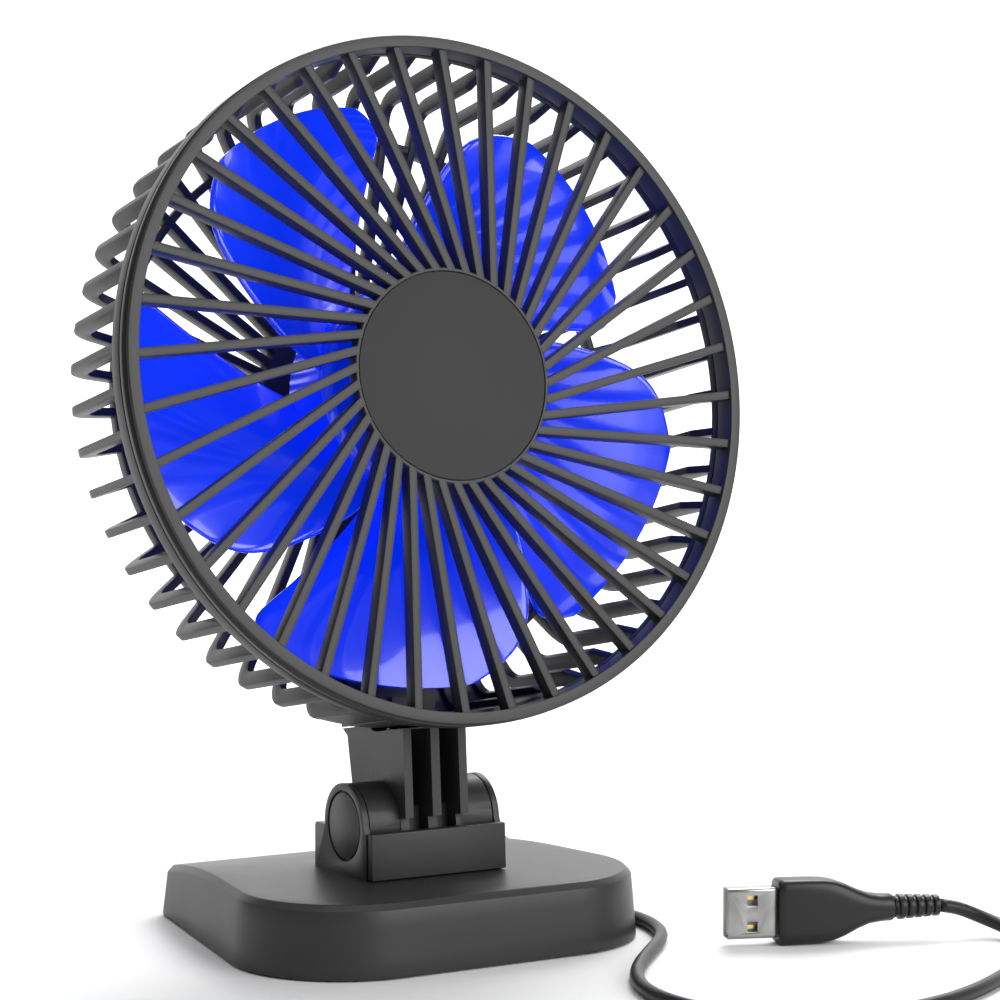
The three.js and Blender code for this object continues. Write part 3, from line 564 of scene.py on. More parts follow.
def rib_tree():
    """Bars bent round the rim of a cage: along its side, round a corner and in towards its back."""
    sizes = {
        "Ribs": 51, "Thickness": 2.0, "Band": RIB_BAND, "Easing": 0.3, "Rim": 77.9, "Front": 5.0, "Back": 39.0,
        "Inner": 26.0, "Inner Back": 48.0, "Corner": 5.0, "Taper": 7.0, "Turn": 0.0, "Gap": 8.5,
    }
    tree = Tree("cage_ribs", sizes)
    g = tree.inputs
    start = tree.xyz(g["Rim"], g["Front"])
    widened = tree.xyz(g["Rim"], tree.sum("ADD", g["Front"], g["Taper"]))
    bend = tree.xyz(g["Rim"], g["Back"])
    end = tree.xyz(g["Inner"], g["Inner Back"])
    line = tree.add("GeometryNodeCurvePrimitiveLine", Start=start, End=end)
    bent = tree.add("GeometryNodeResampleCurve", Curve=line, Count=4)
    index = tree.add("GeometryNodeInputIndex")
    for at, spot in ((1, widened), (2, bend)):
        here = tree.add("FunctionNodeCompare", {"data_type": "INT", "operation": "EQUAL"}, {2: index, 3: at})
        bent = tree.add("GeometryNodeSetPosition", Geometry=bent, Selection=here, Position=spot)
    path = tree.add("GeometryNodeFilletCurve", {"mode": "POLY"}, Curve=bent, Radius=g["Corner"], Count=7)
    flat = tree.add("GeometryNodeSetCurveNormal", {"mode": "Z_UP"}, Curve=path)
    section = bar_section(tree, g["Band"], g["Thickness"], g["Easing"])
    bar = tree.add("GeometryNodeCurveToMesh", Curve=flat, Profile_Curve=section, Fill_Caps=True)
    # each rib starts as thin as the ring's wall and widens over its taper
    place = tree.node("ShaderNodeSeparateXYZ", None, {0: tree.add("GeometryNodeInputPosition")}).outputs
    inside = tree.sum("LESS_THAN", place["X"], g["Rim"])
    first = tree.sum("LESS_THAN", place["Y"], tree.sum("ADD", g["Front"], 0.1))
    thinned = tree.sum("MULTIPLY", inside, first)
    rise = tree.xyz(tree.sum("MULTIPLY", g["Band"], 0.58))
    bar = tree.add("GeometryNodeSetPosition", Geometry=bar, Selection=thinned, Offset=rise)
    tree.finish(around_axis(tree, bar, g["Ribs"], g["Turn"], 0.5, g["Gap"]))
    return tree


# ---------- front grille ----------
def front_grille():
    ring = [
        (RING_INNER_R, -2.7), (80.75, -2.7), (81.05, -2.3), (80.95, -2.05), (80.1, -1.9), (80.1, -0.6),
        (RING_R, -0.35), (RING_R, 1.05), (79.75, 1.05), (79.75, 3.3), (RING_INNER_R, 3.3),
    ]
    easing = [0.15, 0.25, 0.1, 0.05, 0.1, 0.1, 0.12, 0.12, 0, 0.2, 0.2]
    front = as_object("guard_ring_front", turned(rounded(ring, easing, 3), 180))
    guard_piece(front, ["front_grille"])
    sizes = {"Width": 2.05, "Easing": 0.14, "Inner": 22.3, "Outer": 77.7, "Turn": -5.5}
    spokes = spoke_tree().build("guard_spokes", sizes, GUARD)
    guard_piece(spokes)
    seat, front, rear = -1.15, -1.95, 1.6
    rim_r = HUB_PLATE_R - 0.85
    plate = [(0, seat), (rim_r, seat), (rim_r, front), (HUB_PLATE_R, front), (HUB_PLATE_R, rear), (0, rear)]
    hub = as_object("hub_plate", turned(rounded(plate, [0, 0, 0.2, 0.35, 0.3, 0], 3), 120))
    guard_piece(hub)
    disc_r = HUB_PLATE_R - 1.0
    cap = [(0, -1.85), (disc_r, -1.85), (disc_r, -1.5), (0, -1.5)]
    cap = as_object("centre_disc", turned(rounded(cap, [0, 0.15, 0.1, 0], 3), 120))
    placed(cap, FAN, CAP, "head", ["centre_cap"])


# ---------- rear grille ----------
def cage_back(r):
    return CAGE_BACK + CAGE_SLOPE * (CORNER_R - r)


def rear_ring():
    seam, rear = 1.6, 6.0
    ring = [(RING_R, seam), (RING_R, rear), (RING_INNER_R, rear), (RING_INNER_R, 3.6), (SKIRT_R, 3.6), (SKIRT_R, seam)]
    ring = as_object("guard_ring_rear", turned(rounded(ring, [0.12, 0.5, 0.3, 0.2, 0, 0.1], 3), 180))
    guard_piece(ring, ["rear_grille"])


def ribs_and_hoop():
    middle = RIB_R - RIB_BAND / 2
    inner = MOUNT_R - 1
    sizes = {
        "Rim": middle, "Front": 5.0, "Back": cage_back(middle) - RIB_BAND / 2, "Inner": inner,
        "Inner Back": cage_back(inner) - RIB_BAND / 2, "Corner": 5.4, "Turn": 90.0, "Gap": 8.5,
    }
    ribs = rib_tree().build("cage_ribs", sizes, GUARD)
    guard_piece(ribs)
    back = cage_back(HOOP_R) - 0.2
    hoop = [(HOOP_R - 1, back - 3.4), (HOOP_R + 1, back - 3.4), (HOOP_R + 1, back), (HOOP_R - 1, back)]
    hoop = as_object("cage_hoop", turned(rounded(hoop, 0.35, 2), 144))
    guard_piece(hoop)


def closed_floor():
    """The panel over the neck: along the rim, round the corner and up the back as far as the hoop."""
    outer, thick, sector = 79.7, 2.2, 17.6
    back = cage_back(HOOP_R) - 0.3
    reach = outer - CORNER_R
    panel = [(outer, 5.0)] + arc(CORNER_R, CORNER_Y, reach, 0, 78.7, 12) + [(HOOP_R, back), (HOOP_R, back - thick)]
    panel += arc(CORNER_R, CORNER_Y, reach - thick, 78.7, 0, 8) + [(outer - thick, 5.0)]
    return turned(panel, 40, 180 - sector, 180 + sector)


def motor_mount_and_spine():
    half, wall = SPINE_HALF, 1.8
    front = cage_back(MOUNT_R) - RIB_BAND
    inner = MOUNT_R - wall
    mount = [
        (4.2, front), (MOUNT_R, front), (MOUNT_R, SPINE_BACK), (inner, SPINE_BACK), (inner, front + 2),
        (4.2, front + 2),
    ]
    mount = turned(rounded(mount, [0.2, 0.6, 0.3, 0.3, 0.5, 0.2], 3), 96)
    spine = block(-half, half, SPINE_FRONT, SPINE_FRONT + wall, -SPINE_FOOT, -24.5)
    walls = [block(x, x + wall, SPINE_FRONT, SPINE_BACK, -SPINE_FOOT, -25.5) for x in (-half, half - wall)]
    heel = block(-half, half, 37, SPINE_FRONT + wall, -SPINE_FOOT, -72)
    way_for_lead = block(-1.6, 1.6, SPINE_FRONT + wall + 0.3, 60, -29.5, -12)
    holes = [way_for_lead]
    holes += [cylinder("y", 1.1, 30, 60, s * MOTOR_SCREW_X, 0, 16) for s in (-1, 1)]
    # the neck's screws pass the floor, and their heads sit in its round corner
    holes += [cylinder("z", 1.1, -90, -70, s * NECK_SCREW_X, RING_AHEAD, 16) for s in (-1, 1)]
    holes += [cylinder("z", 2.4, -77.6, -66, s * NECK_SCREW_X, RING_AHEAD, 32) for s in (-1, 1)]
    frame_part = carved("motor_mount_and_spine", [mount, spine, *walls, closed_floor(), heel], holes, 0.3)
    guard_piece(frame_part)


def rear_cover():
    """The round cover with its strip down the spine."""
    meets = math.degrees(math.asin(SPINE_HALF / MOUNT_R))
    disc = arc(0, 0, MOUNT_R, -90 + meets, 270 - meets, 41)
    outline = rounded(disc + [(-SPINE_HALF, -SPINE_FOOT), (SPINE_HALF, -SPINE_FOOT)], [0] * len(disc) + [3, 3], 4)
    holes = [cylinder("y", 1.5, 40, 60, x, z, 20) for x, z in COVER_SCREWS]
    cover = carved("rear_cover_plate", [prism(outline, SPINE_BACK + 0.3, COVER_BACK, 0.5, "y")], holes)
    guard_piece(cover, ["rear_cover"])


# ---------- screws ----------
def screw_tree():
    """Pan heads with a cross recess on each of the points it is given, facing +y."""
    sizes = {"Head Radius": 2.1, "Head Height": 0.9, "Shank Radius": 0.8, "Shank Length": 6.2, "Recess": 0.45}
    tree = Tree("cross_screws", sizes)
    g = tree.inputs
    radius, height = g["Head Radius"], g["Head Height"]

    def moved(geometry, z):
        return tree.add("GeometryNodeTransform", Geometry=geometry, Translation=tree.xyz(z=z))

    dome = tree.add("GeometryNodeMeshUVSphere", Segments=24, Rings=12, Radius=radius)
    squeeze = tree.sum("DIVIDE", height, radius)
    dome = tree.add("GeometryNodeTransform", Geometry=dome, Scale=tree.xyz(1.0, 1.0, squeeze))
    reach = tree.sum("MULTIPLY", radius, 4.0)
    below = tree.add("GeometryNodeMeshCube", Size=tree.xyz(reach, reach, reach))
    below = moved(below, tree.sum("MULTIPLY", reach, -0.5))
    arm = tree.sum("MULTIPLY", radius, 1.1)
    bars = []
    for x, y in ((arm, g["Recess"]), (g["Recess"], arm)):
        bars.append(moved(tree.add("GeometryNodeMeshCube", Size=tree.xyz(x, y, height)), height))
    settings = {"operation": "DIFFERENCE", "solver": "EXACT"}
    head = tree.add("GeometryNodeMeshBoolean", settings, {0: dome, 1: [below, *bars]})
    length = g["Shank Length"]
    shank = tree.add("GeometryNodeMeshCylinder", Vertices=12, Radius=g["Shank Radius"], Depth=length)
    shank = moved(shank, tree.sum("MULTIPLY", length, -0.5))
    screw = tree.add("GeometryNodeJoinGeometry", None, {0: [head, shank]})
    screw = tree.add("GeometryNodeTransform", Geometry=screw, Rotation=(-math.pi / 2, 0, 0))
    tree.finish(tree.add("GeometryNodeInstanceOnPoints", Points=g["Geometry"], Instance=screw))
    return tree


def points(places):
    bm = bmesh.new()
    for place in places:
        bm.verts.new(place)
    return bm


def screws():
    tree = screw_tree()

    def sizes(head, height, shank, length):
        return {"Head Radius": head, "Head Height": height, "Shank Radius": shank, "Shank Length": length}

    def group(name, sizes, places, matrix, body, count, stands_for):
        made = tree.build(name, sizes, SCREW, points(places))
        placed(made, matrix, SCREW, body, ["%s_%d" % (stands_for, i + 1) for i in range(count)])

    rear = [(x, COVER_BACK + 0.3, z) for x, z in COVER_SCREWS]
    group("cover_screws", {}, rear, FAN, "head", 3, "cover_screw")
    motor = [(s * MOTOR_SCREW_X, 48.6, 0) for s in (-1, 1)]
    group("motor_screws", sizes(2.2, 1.0, 0.9, 6.0), motor, FAN, "head", 2, "motor_screw")
    up = HEAD @ Matrix.Rotation(math.pi / 2, 4, "X")
    neck_places = [(s * NECK_SCREW_X, 24.4, 0) for s in (-1, 1)]
    group("neck_screws", sizes(1.9, 1.0, 0.8, 6.0), neck_places, up, "head", 2, "neck_screw")
    down = Matrix.Rotation(-math.pi / 2, 4, "X")
    under = [(x, -1.8, y) for x, y in POSTS]
    group("base_screws", sizes(2.5, 0.9, 1.0, 7.0), under, down, "base", 4, "base_screw")


# ---------- impeller ----------
# each row of a blade: radius, angles of its front and rear edges, and their places along the axis
BLADE_ROWS = [
    (25.0, -4, 58, 15.5, 31.5),
    (33.0, 1.5, 65, 13.5, 31),
    (43.0, 9, 71.5, 12, 30.5),
    (53.0, 15, 75.5, 11, 30),
    (61.0, 19.5, 78.5, 10.6, 29.8),
    (67.0, 25, 80, 11.2, 29.2),
    (71.4, 35, 74, 13.4, 27),
]
BLADES = 5
BLADE_TURN = -77.4
BLADE_THICK = 1.5
BLADE_SAG = 1.6
EDGE_ROUNDING = 0.9


def between_rows(u):
    """The blade's row at u from 0, its root, to 1, its tip, on a smooth curve drawn by the given rows."""
    rows = [BLADE_ROWS[0]] * 2 + BLADE_ROWS + [BLADE_ROWS[-1]] * 2
    at = u * (len(rows) - 3)
    i = min(int(at), len(rows) - 4)
    t = at - i
    weights = ((1 - t) ** 3, 3 * t**3 - 6 * t**2 + 4, 1 + 3 * t + 3 * t**2 - 3 * t**3, t**3)
    return [sum(w * value for w, value in zip(weights, values)) / 6 for values in zip(*rows[i : i + 4])]


def blade(turn, rows=36, columns=32):
    """One blade: a thin, rounded-edged skin over a twisted and dished grid."""

    def middle(u, v):
        r, a0, a1, y0, y1 = between_rows(u)
        a = math.radians(turn + a0 + (a1 - a0) * v)
        sag = BLADE_SAG * math.sin(math.pi * v)
        return Vector((r * math.sin(a), y0 + (y1 - y0) * v - sag, r * math.cos(a)))

    bm = bmesh.new()
    front, rear = [], []
    for i in range(rows + 1):
        # rows and columns crowd towards the edges, where the section is rounded off
        u = 1 - (1 - i / rows) ** 1.6
        front.append([])
        rear.append([])
        for j in range(columns + 1):
            v = 0.5 - 0.5 * math.cos(math.pi * j / columns)
            here = middle(u, v)
            across = middle(u, min(v + 0.01, 1)) - middle(u, max(v - 0.01, 0))
            along = middle(min(u + 0.01, 1), v) - middle(max(u - 0.01, 0), v)
            normal = along.cross(across).normalized()
            edge = min((1 - u) * 40, v * 40, (1 - v) * 40)
            half = 0.5 * BLADE_THICK * math.sqrt(max(0.0, 1 - (1 - min(edge / EDGE_ROUNDING, 1)) ** 2))
            on_edge = j in (0, columns) or i == rows
            centre = here + Vector((0, BLADE_THICK / 2, 0))
            a = bm.verts.new(centre + normal * half)
            front[i].append(a)
            rear[i].append(a if on_edge else bm.verts.new(centre - normal * half))
    for i in range(rows):
        for j in range(columns):
            for grid, order in ((front, 1), (rear, -1)):
                ring = [grid[i][j], grid[i][j + 1], grid[i + 1][j + 1], grid[i + 1][j]][::order]
                bm.faces.new(ring)
    bm.faces.new(front[0] + rear[0][1:-1][::-1])
    return outward(bm)


def impeller():
    outer, face, back = 26, 13.7, 32.7
    hub = [
        (1.8, face), (24, face), (outer, 15.9), (outer, back), (24.2, back), (24.2, 16.2), (5, 16.2), (5, 22.8),
        (1.8, 22.8),
    ]
    hub = rounded(hub, [0.2, 2.5, 2.5, 0.5, 0.4, 1.5, 1, 0.3, 0.2], 6)
    solid = as_object("fan_blades", turned(hub, 120))
    placed(solid, FAN, BLUE, "impeller", ["impeller"])
    bm = bmesh.new()
    for k in range(BLADES):
        one = blade(BLADE_TURN + 360 / BLADES * k)
        data = bpy.data.meshes.new("blade")
        one.to_mesh(data)
        one.free()
        bm.from_mesh(data)
        bpy.data.meshes.remove(data)
    blades = as_object("fan_blade_set", bm)
    placed(blades, FAN, BLUE, "impeller", smooth=50)


# ---------- motor and lead, inside ----------
def motor():
    radius, front = 17, 24
    can = [(4, front), (radius, front), (radius, 41), (16, 41), (16, 25.5), (4, 25.5)]
    can = as_object("motor_case", turned(rounded(can, [0.2, 1.5, 0.2, 0.2, 0.6, 0.2], 3), 72))
    placed(can, FAN, NICKEL, "head", ["motor_can"])
    bell = turned(rounded([(4, 41.3), (radius, 41.3), (radius, 43.5), (4, 43.5)], [0.2, 0.3, 0.8, 0.2], 3), 72)
    holes = [cylinder("y", 1.2, 30, 60, s * MOTOR_SCREW_X, 0, 16) for s in (-1, 1)]
    placed(carved("motor_end", [bell], holes, 0.15), FAN, BLACK, "head", ["motor_end_bell"])
    better = [
        (COPPER, ["motor_windings"]),
        (BRONZE, ["front_bush", "rear_bush"]),
        (SCREW, ["motor_shaft", "shaft_collar", "hinge_bolt", "hinge_nut", "hinge_washer_left", "hinge_washer_right"]),
        (CORD, ["motor_lead", "base_lead"]),
        (BOARD, ["circuit_board"]),
        (BLACK, ["switch_body"]),
    ]
    for material, names in better:
        for name in names:
            finish_node(name, material)


def finish_node(name, material):
    """A better finish on a frame node whose shape is right."""
    data = frame["nodes"][name].data
    data.materials.clear()
    data.materials.append(material)


# ---------- neck and hinge bracket ----------
BARREL_R = 10


def neck():
    half, top, back_top, front = NECK_HALF, 21.6, 23.4, -14.8
    # behind the level part the top follows the closed floor's corner and then the spine's foot
    side = [
        (-1.75, top), (front, top), (-12.8, 0.6), (-10.5, 0.6), (-10.3, -2.5), (0, -8), (12.7, 8.6), (13.5, 10),
        (14.2, top), (16.4, back_top), (3.2, back_top), (2.2, 22.9), (1.2, 22.3), (0, 21.85),
    ]
    body = prism(side, -half, half)
    barrel = cylinder("x", BARREL_R, -BARREL_HALF, BARREL_HALF, 0, 0, 96)
    holes = []
    # two slots leave the side walls and the fin between them
    for a, b in ((-6.35, -1.15), (1.15, 6.35)):
        holes.append(block(a, b, -20, 6, 3.5, top - 0.3))
        holes.append(block(a, b, -20, -6, -7.2, 3.6))
    holes.append(cylinder("x", 2.5, -30, 30, 0, 0, 32))
    holes += [cylinder("x", 7.9, *sorted((s * 12.4, s * 20)), 0, 0, 48) for s in (-1, 1)]
    way_for_lead = block(-2, 2, 8.2, 12.2, 9.5, 30)
    # the walls' front edges stop in a small step just over the barrel's lower half
    step = block(-9, 9, -14, -10.2, -9, 0.6)
    holes += [way_for_lead, step]
    placed(carved("hinge_neck", [body, barrel], holes, 0.22), HEAD, BODY, "head", ["neck"])


EAR_INNER = 16.85
EAR_OUTER = 18.4
EAR_FOOT = 15.0


def ear_outline():
    top = arc(AXIS_Y, AXIS_Z, 10.1, 180, 0, 40)
    step = rounded([(1.1, 27.3), (6.3, 27.3), (6.3, EAR_FOOT)], [0, 1.0, 0], 4)
    front = AXIS_Y - 11.2
    return [(front, EAR_FOOT), (front, AXIS_Z - 1.5)] + [p for p in top if p[1] > AXIS_Z + 0.2] + step


def hinge_bracket():
    def hinge_pin(radius, low, high, steps):
        """A cylinder on the hinge's axis, out to each side."""
        return [cylinder("x", radius, *sorted((s * low, s * high)), AXIS_Y, AXIS_Z, steps) for s in (-1, 1)]

    ears = [prism(ear_outline(), *sorted((s * EAR_INNER, s * EAR_OUTER))) for s in (-1, 1)]
    bosses = hinge_pin(7.6, 13.4, 17, 64)
    wall = block(-17, 17, 3.2, 6.2, EAR_FOOT, 26.8)
    holes = hinge_pin(8.4, EAR_OUTER - 1, 30, 96) + hinge_pin(4.6, 15.4, 30, 48)
    holes.append(cylinder("x", 2.3, -30, 30, AXIS_Y, AXIS_Z, 32))
    bracket = carved("hinge_ears", [*ears, wall, *bosses], holes, 0.25)
    base_piece(bracket)
    for side, s in (("left", -1), ("right", 1)):
        cap = cylinder("x", 7.85, *sorted((s * 17.7, s * 18.3)), AXIS_Y, AXIS_Z, 96, 0.12)
        cap = as_object("hinge_cap_disc_" + side, cap)
        base_piece(cap, ["hinge_cap_" + side])
    foot, top, back = 17.1, 28.0, -20.5
    face = [(-23.0, foot), (back, foot), (back, top), (-22.6, top)]
    panel = prism(rounded(face, [0.15, 0.15, 0.3, 0.45], 4), -18.1, 18.1, 0.35)
    tongues = [block(*sorted((s * 12, s * 16)), -21, -17, foot, 18.4) for s in (-1, 1)]
    base_piece(carved("front_cover", [panel, *tongues]), ["front_panel"])


# ---------- base ----------
BASE_FLARE = 0.146  # how much the sides open towards the front
BASE_BACK_HALF = 41.6
BASE_TOP = 16.8
BASE_FALL = 0.0021  # the top falls by this times y squared behind the middle


def base_outline(inset):
    """The base's outline drawn in by inset, always with the same number of points."""
    lean = math.atan(BASE_FLARE)
    turn = math.degrees(lean)

    def half(y):
        return BASE_BACK_HALF + BASE_FLARE * (BASE_HALF_DEPTH - y)

    def corner(r, y, start, end, steps):
        return arc(half(y) - r / math.cos(lean), y, r - inset, start, end, steps)

    def between(a, b):
        """Eleven points on the straight line from a to b."""
        return [tuple(Vector(a).lerp(Vector(b), k / 12)) for k in range(1, 12)]

    front_corner = corner(27.9, -20.6, -90, turn, 26)
    back_corner = corner(6, 42.5, turn, 90, 12)
    right = front_corner + between(front_corner[-1], back_corner[0]) + back_corner
    left = [(-x, y) for x, y in reversed(right)]
    return right + between(right[-1], left[0]) + left + between(left[-1], right[0])


def base_top(y):
    return BASE_TOP - (BASE_FALL * y * y if y > 0 else 0)


def base_shell():
    wall, roof, draft = 3.5, 2.2, 1.2
    skirt = 0.8  # height of the rounded foot of the wall
    rings = []

    def ring(inset, height):
        rings.append([(x, y, height(y)) for x, y in base_outline(inset)])

    def shrunk(inset, height, scales):
        for s in scales:
            rings.append([(x * s, y * s, height(y * s)) for x, y in base_outline(inset)])

    def ceiling(y):
        return base_top(y) - roof

    scales = [0.04, 0.12, 0.22, 0.34, 0.46, 0.58, 0.7, 0.82, 0.92]
    shrunk(wall, ceiling, scales)
    ring(wall, ceiling)
    for inset, z in ((2.2, 0.35), (0.4, 0.35), (0.1, 0.5), (0.0, skirt)):
        ring(inset, lambda y, z=z: z)
    for k in range(1, 5):
        ring(draft * k / 4, lambda y, k=k: skirt + (base_top(y) - 2.5) * k / 4)
    # the flat chamfer between the leaning wall and the top: inset, and how far under the top
    for inset, under in ((1.28, 1.5), (1.35, 1.38), (1.48, 1.24), (2.48, 0.24), (2.62, 0.12), (2.8, 0.03), (3.05, 0)):
        ring(inset, lambda y, under=under: base_top(y) - under)
    shrunk(3.05, base_top, reversed(scales))
    way_for_lead = block(-5, 5, -13, -6, 12, 20)
    button_hole = cylinder("y", 3.4, 42, 60, *BUTTON_AT, 48)
    cord_hole = cylinder("y", 3.0, 42, 60, *CORD_AT, 48)
    shell = carved("base_body", [lofted(rings)], [way_for_lead, button_hole, cord_hole])
    base_piece(shell, ["base_shell"])
    posts = [cylinder("z", 3.6, 3.4, base_top(y) - 2.0, x, y, 32) for x, y in POSTS]
    posts = carved("base_posts", posts, [cylinder("z", 1.3, 0, 11.5, x, y, 16) for x, y in POSTS])
    base_piece(posts)


def underside():
    plate = prism(base_outline(2.8), 0.9, 3.1, 0.3, "z")
    holes = [cylinder("z", 3, 0, 2.1, x, y, 32) for x, y in POSTS]
    holes += [cylinder("z", 1.5, 0, 6, x, y, 20) for x, y in POSTS]
    holes += [cylinder("z", 5.3, 0, 1.8, x, y, 48) for x, y in FEET]
    base_piece(carved("bottom_plate", [plate], holes), ["base_plate"])
    for i, (x, y) in enumerate(FEET):
        foot = as_object("rubber_foot_%d" % (i + 1), cylinder("z", 5, 0, 1.5, x, y, 48, 0.4))
        placed(foot, BASE, RUBBER, "base", ["foot_%d" % (i + 1)])


def power_button():
    x, z = BUTTON_AT
    cap = cylinder("y", 3.1, 43.2, 48.3, x, z, 64, 0.5)
    flange = block(x - 4.5, x + 4.5, 43.7, 44.8, z - 3, z + 3)
    button = carved("push_button", [cap, flange])
    placed(button, BASE, BLACK, "button", ["power_button"])


# ---------- cord ----------
CORD_R = 1.6
FLOOR_Z = CORD_R + 0.05
EXIT = (CORD_AT[0], 60.7, CORD_AT[1])
TO_COIL = [
    EXIT, (-18, 64, 6.1), (-17.8, 67.5, 5.3), (-16.6, 71.5, 3.9), (-13.8, 74.8, 2.6), (-9.5, 76.6, 1.8),
    (-4, 77.2, FLOOR_Z), (2, 77.2, FLOOR_Z), (8, 77.6, FLOOR_Z), (13, 79.3, FLOOR_Z), (17.3, 82.6, 1.9),
    (20.9, 86.3, 2.3),
]
TO_PLUG = [
    (67.6, 62, 6.9), (66.4, 54, 5), (63.4, 45, 3), (59.4, 36, FLOOR_Z), (55.8, 25, FLOOR_Z), (53.4, 13, FLOOR_Z),
    (52.8, 0, FLOOR_Z), (53.6, -12, FLOOR_Z), (54.4, -23, FLOOR_Z), (53.2, -33, FLOOR_Z), (49.4, -42.5, FLOOR_Z),
    (43.4, -50.5, FLOOR_Z), (35.6, -58.5, FLOOR_Z), (27.4, -67, FLOOR_Z), (19.8, -76.5, FLOOR_Z),
    (14.2, -87, FLOOR_Z), (11.6, -98, FLOOR_Z), (12.6, -109, FLOOR_Z), (17.6, -119, FLOOR_Z),
    (26, -126.6, FLOOR_Z), (37, -131.2, FLOOR_Z), (49, -132.6, FLOOR_Z), (61, -131, FLOOR_Z),
    (73, -127, FLOOR_Z), (84.4, -121.4, FLOOR_Z), (95.4, -115, FLOOR_Z), (105.8, -108, FLOOR_Z),
    (114.6, -100.4, FLOOR_Z), (119.6, -92.6, 1.8), (120.4, -85.4, 2.8), (117.4, -79.6, 4.8), (113, -76.6, 6.8),
    (108.5, -74.8, 7.8),
]
COIL = Vector((45, 77, 0))
COIL_MEAN_R = 19.2
COIL_HEIGHT = 11.3
# each turn of the coil: its radius and height, from the floor up
TURNS = [(22.3, 2.4), (19.1, 2.4), (15.9, 2.4), (15.9, 5.6), (19.1, 5.6), (22.3, 5.6), (22.3, 8.7)]


def coil_points(start, end, each=24):
    """The turns between two angles, run clockwise, easing to each next turn's place in a short crossing."""
    total = start - end
    count = int(total / 360 * each)
    made = []
    for i in range(1, count):
        run = total * i / count
        turn = min(int(run / 360), len(TURNS) - 1)
        share = run / 360 - turn
        ease = max(0.0, min(1.0, (share - 0.78) / 0.22))
        ease = ease * ease * (3 - 2 * ease)
        here = Vector(TURNS[turn])
        there = Vector(TURNS[min(turn + 1, len(TURNS) - 1)])
        r, z = here.lerp(there, ease)
        a = math.radians(start - run)
        made.append((COIL.x + r * math.cos(a), COIL.y + r * math.sin(a), z))
    return made


def smooth_path(route, step):
    """Points every step along one smooth curve through a route."""
    ends = [Vector(route[0]) * 2 - Vector(route[1])] + [Vector(p) for p in route]
    ends.append(Vector(route[-1]) * 2 - Vector(route[-2]))
    fine = []
    for a, b, c, d in zip(ends, ends[1:], ends[2:], ends[3:]):
        for k in range(12):
            t = k / 12
            fine.append(b + 0.5 * t * (c - a + t * (2 * a - 5 * b + 4 * c - d + t * (3 * (b - c) + d - a))))
    fine.append(ends[-2])
    lengths = [0.0]
    for a, b in zip(fine, fine[1:]):
        lengths.append(lengths[-1] + (b - a).length)
    count = max(2, round(lengths[-1] / step))
    made, i = [], 0
    for k in range(count + 1):
        at = lengths[-1] * k / count
        while i < len(fine) - 2 and lengths[i + 1] < at:
            i += 1
        span = lengths[i + 1] - lengths[i]
        made.append(fine[i].lerp(fine[i + 1], (at - lengths[i]) / span if span else 0))
    return made


def swept(path, section):
    """A closed skin along a path; section is the outline that each station's ring takes."""
    rings = []
    side = None
    for i, p in enumerate(path):
        d = (path[min(i + 1, len(path) - 1)] - path[max(i - 1, 0)]).normalized()
        side = d.cross(Vector((0, 0, 1))) if side is None else side - d * side.dot(d)
        side.normalize()
        top = side.cross(d)
        rings.append([tuple(p + side * a + top * b) for a, b in section])
    return lofted(rings)


def cord():
    route = TO_COIL + coil_points(158.9, -33.6 - 6 * 360) + TO_PLUG
    path = smooth_path(route, 1.6)
    obj = as_object("power_cord", swept(path, arc(0, 0, CORD_R, 0, 330, 11)))
    placed(obj, BASE, CORD, "base", ["usb_cord", "usb_cord_end", "cord_coil"], smooth=None)
    [p * MM for p in path]
    plug() + [strain_relief(), cord_tie()]


def strain_relief():
    """A tapered sleeve with five rings round it, and the flange that holds it in the base."""
    x, z = CORD_AT
    profile = [(0, 43.3), (2.6, 43.3), (2.6, 48.7), (3.5, 48.7)]
    for k in range(5):
        y, r = 49.6 + 2.1 * k, 3.45 - 0.28 * k
        profile += [(r, y), (r, y + 1.1), (r - 0.5, y + 1.3), (r - 0.55, y + 1.9)]
    profile += [(2.1, 60.4), (0, 60.4)]
    body = turned(rounded(profile, 0.15, 2), 48)
    body.transform(Matrix.Translation((x, 0, z)))
    obj = carved("cord_strain_relief", [body, block(x - 4.2, x + 4.2, 43.2, 44.9, 3.5, 9.3)])
    return placed(obj, BASE, CORD, "base", ["strain_relief"])


def cord_tie():
    """A thin strap round one side of the coil."""
    inner, outer = COIL_MEAN_R - 5.3, COIL_MEAN_R + 5.3
    thick, floor, top = 0.4, 0.05, COIL_HEIGHT - 0.05
    low, high = floor + thick, top - thick
    hole = rounded([(inner, low), (outer, low), (outer, high), (inner, high)], 1.2, 4)
    inner, outer = inner - thick, outer + thick
    band = rounded([(inner, floor), (outer, floor), (outer, top), (inner, top)], 1.6, 4)
    obj = carved("coil_tie", [prism(band, -2.5, 2.5, 0.1, "y")], [prism(hole, -3, 3, 0, "y")])
    place = Matrix.Translation(COIL) @ Matrix.Rotation(math.radians(60), 4, "Z")
    return placed(obj, place, BLACK, "base", ["cord_tie"])


PLUG_PLACE = (
    Matrix.Translation((108.2, -74.7, 7.85))
    @ Matrix.Rotation(math.radians(160), 4, "Z")
    @ Matrix.Rotation(math.pi / 2, 4, "X")
)


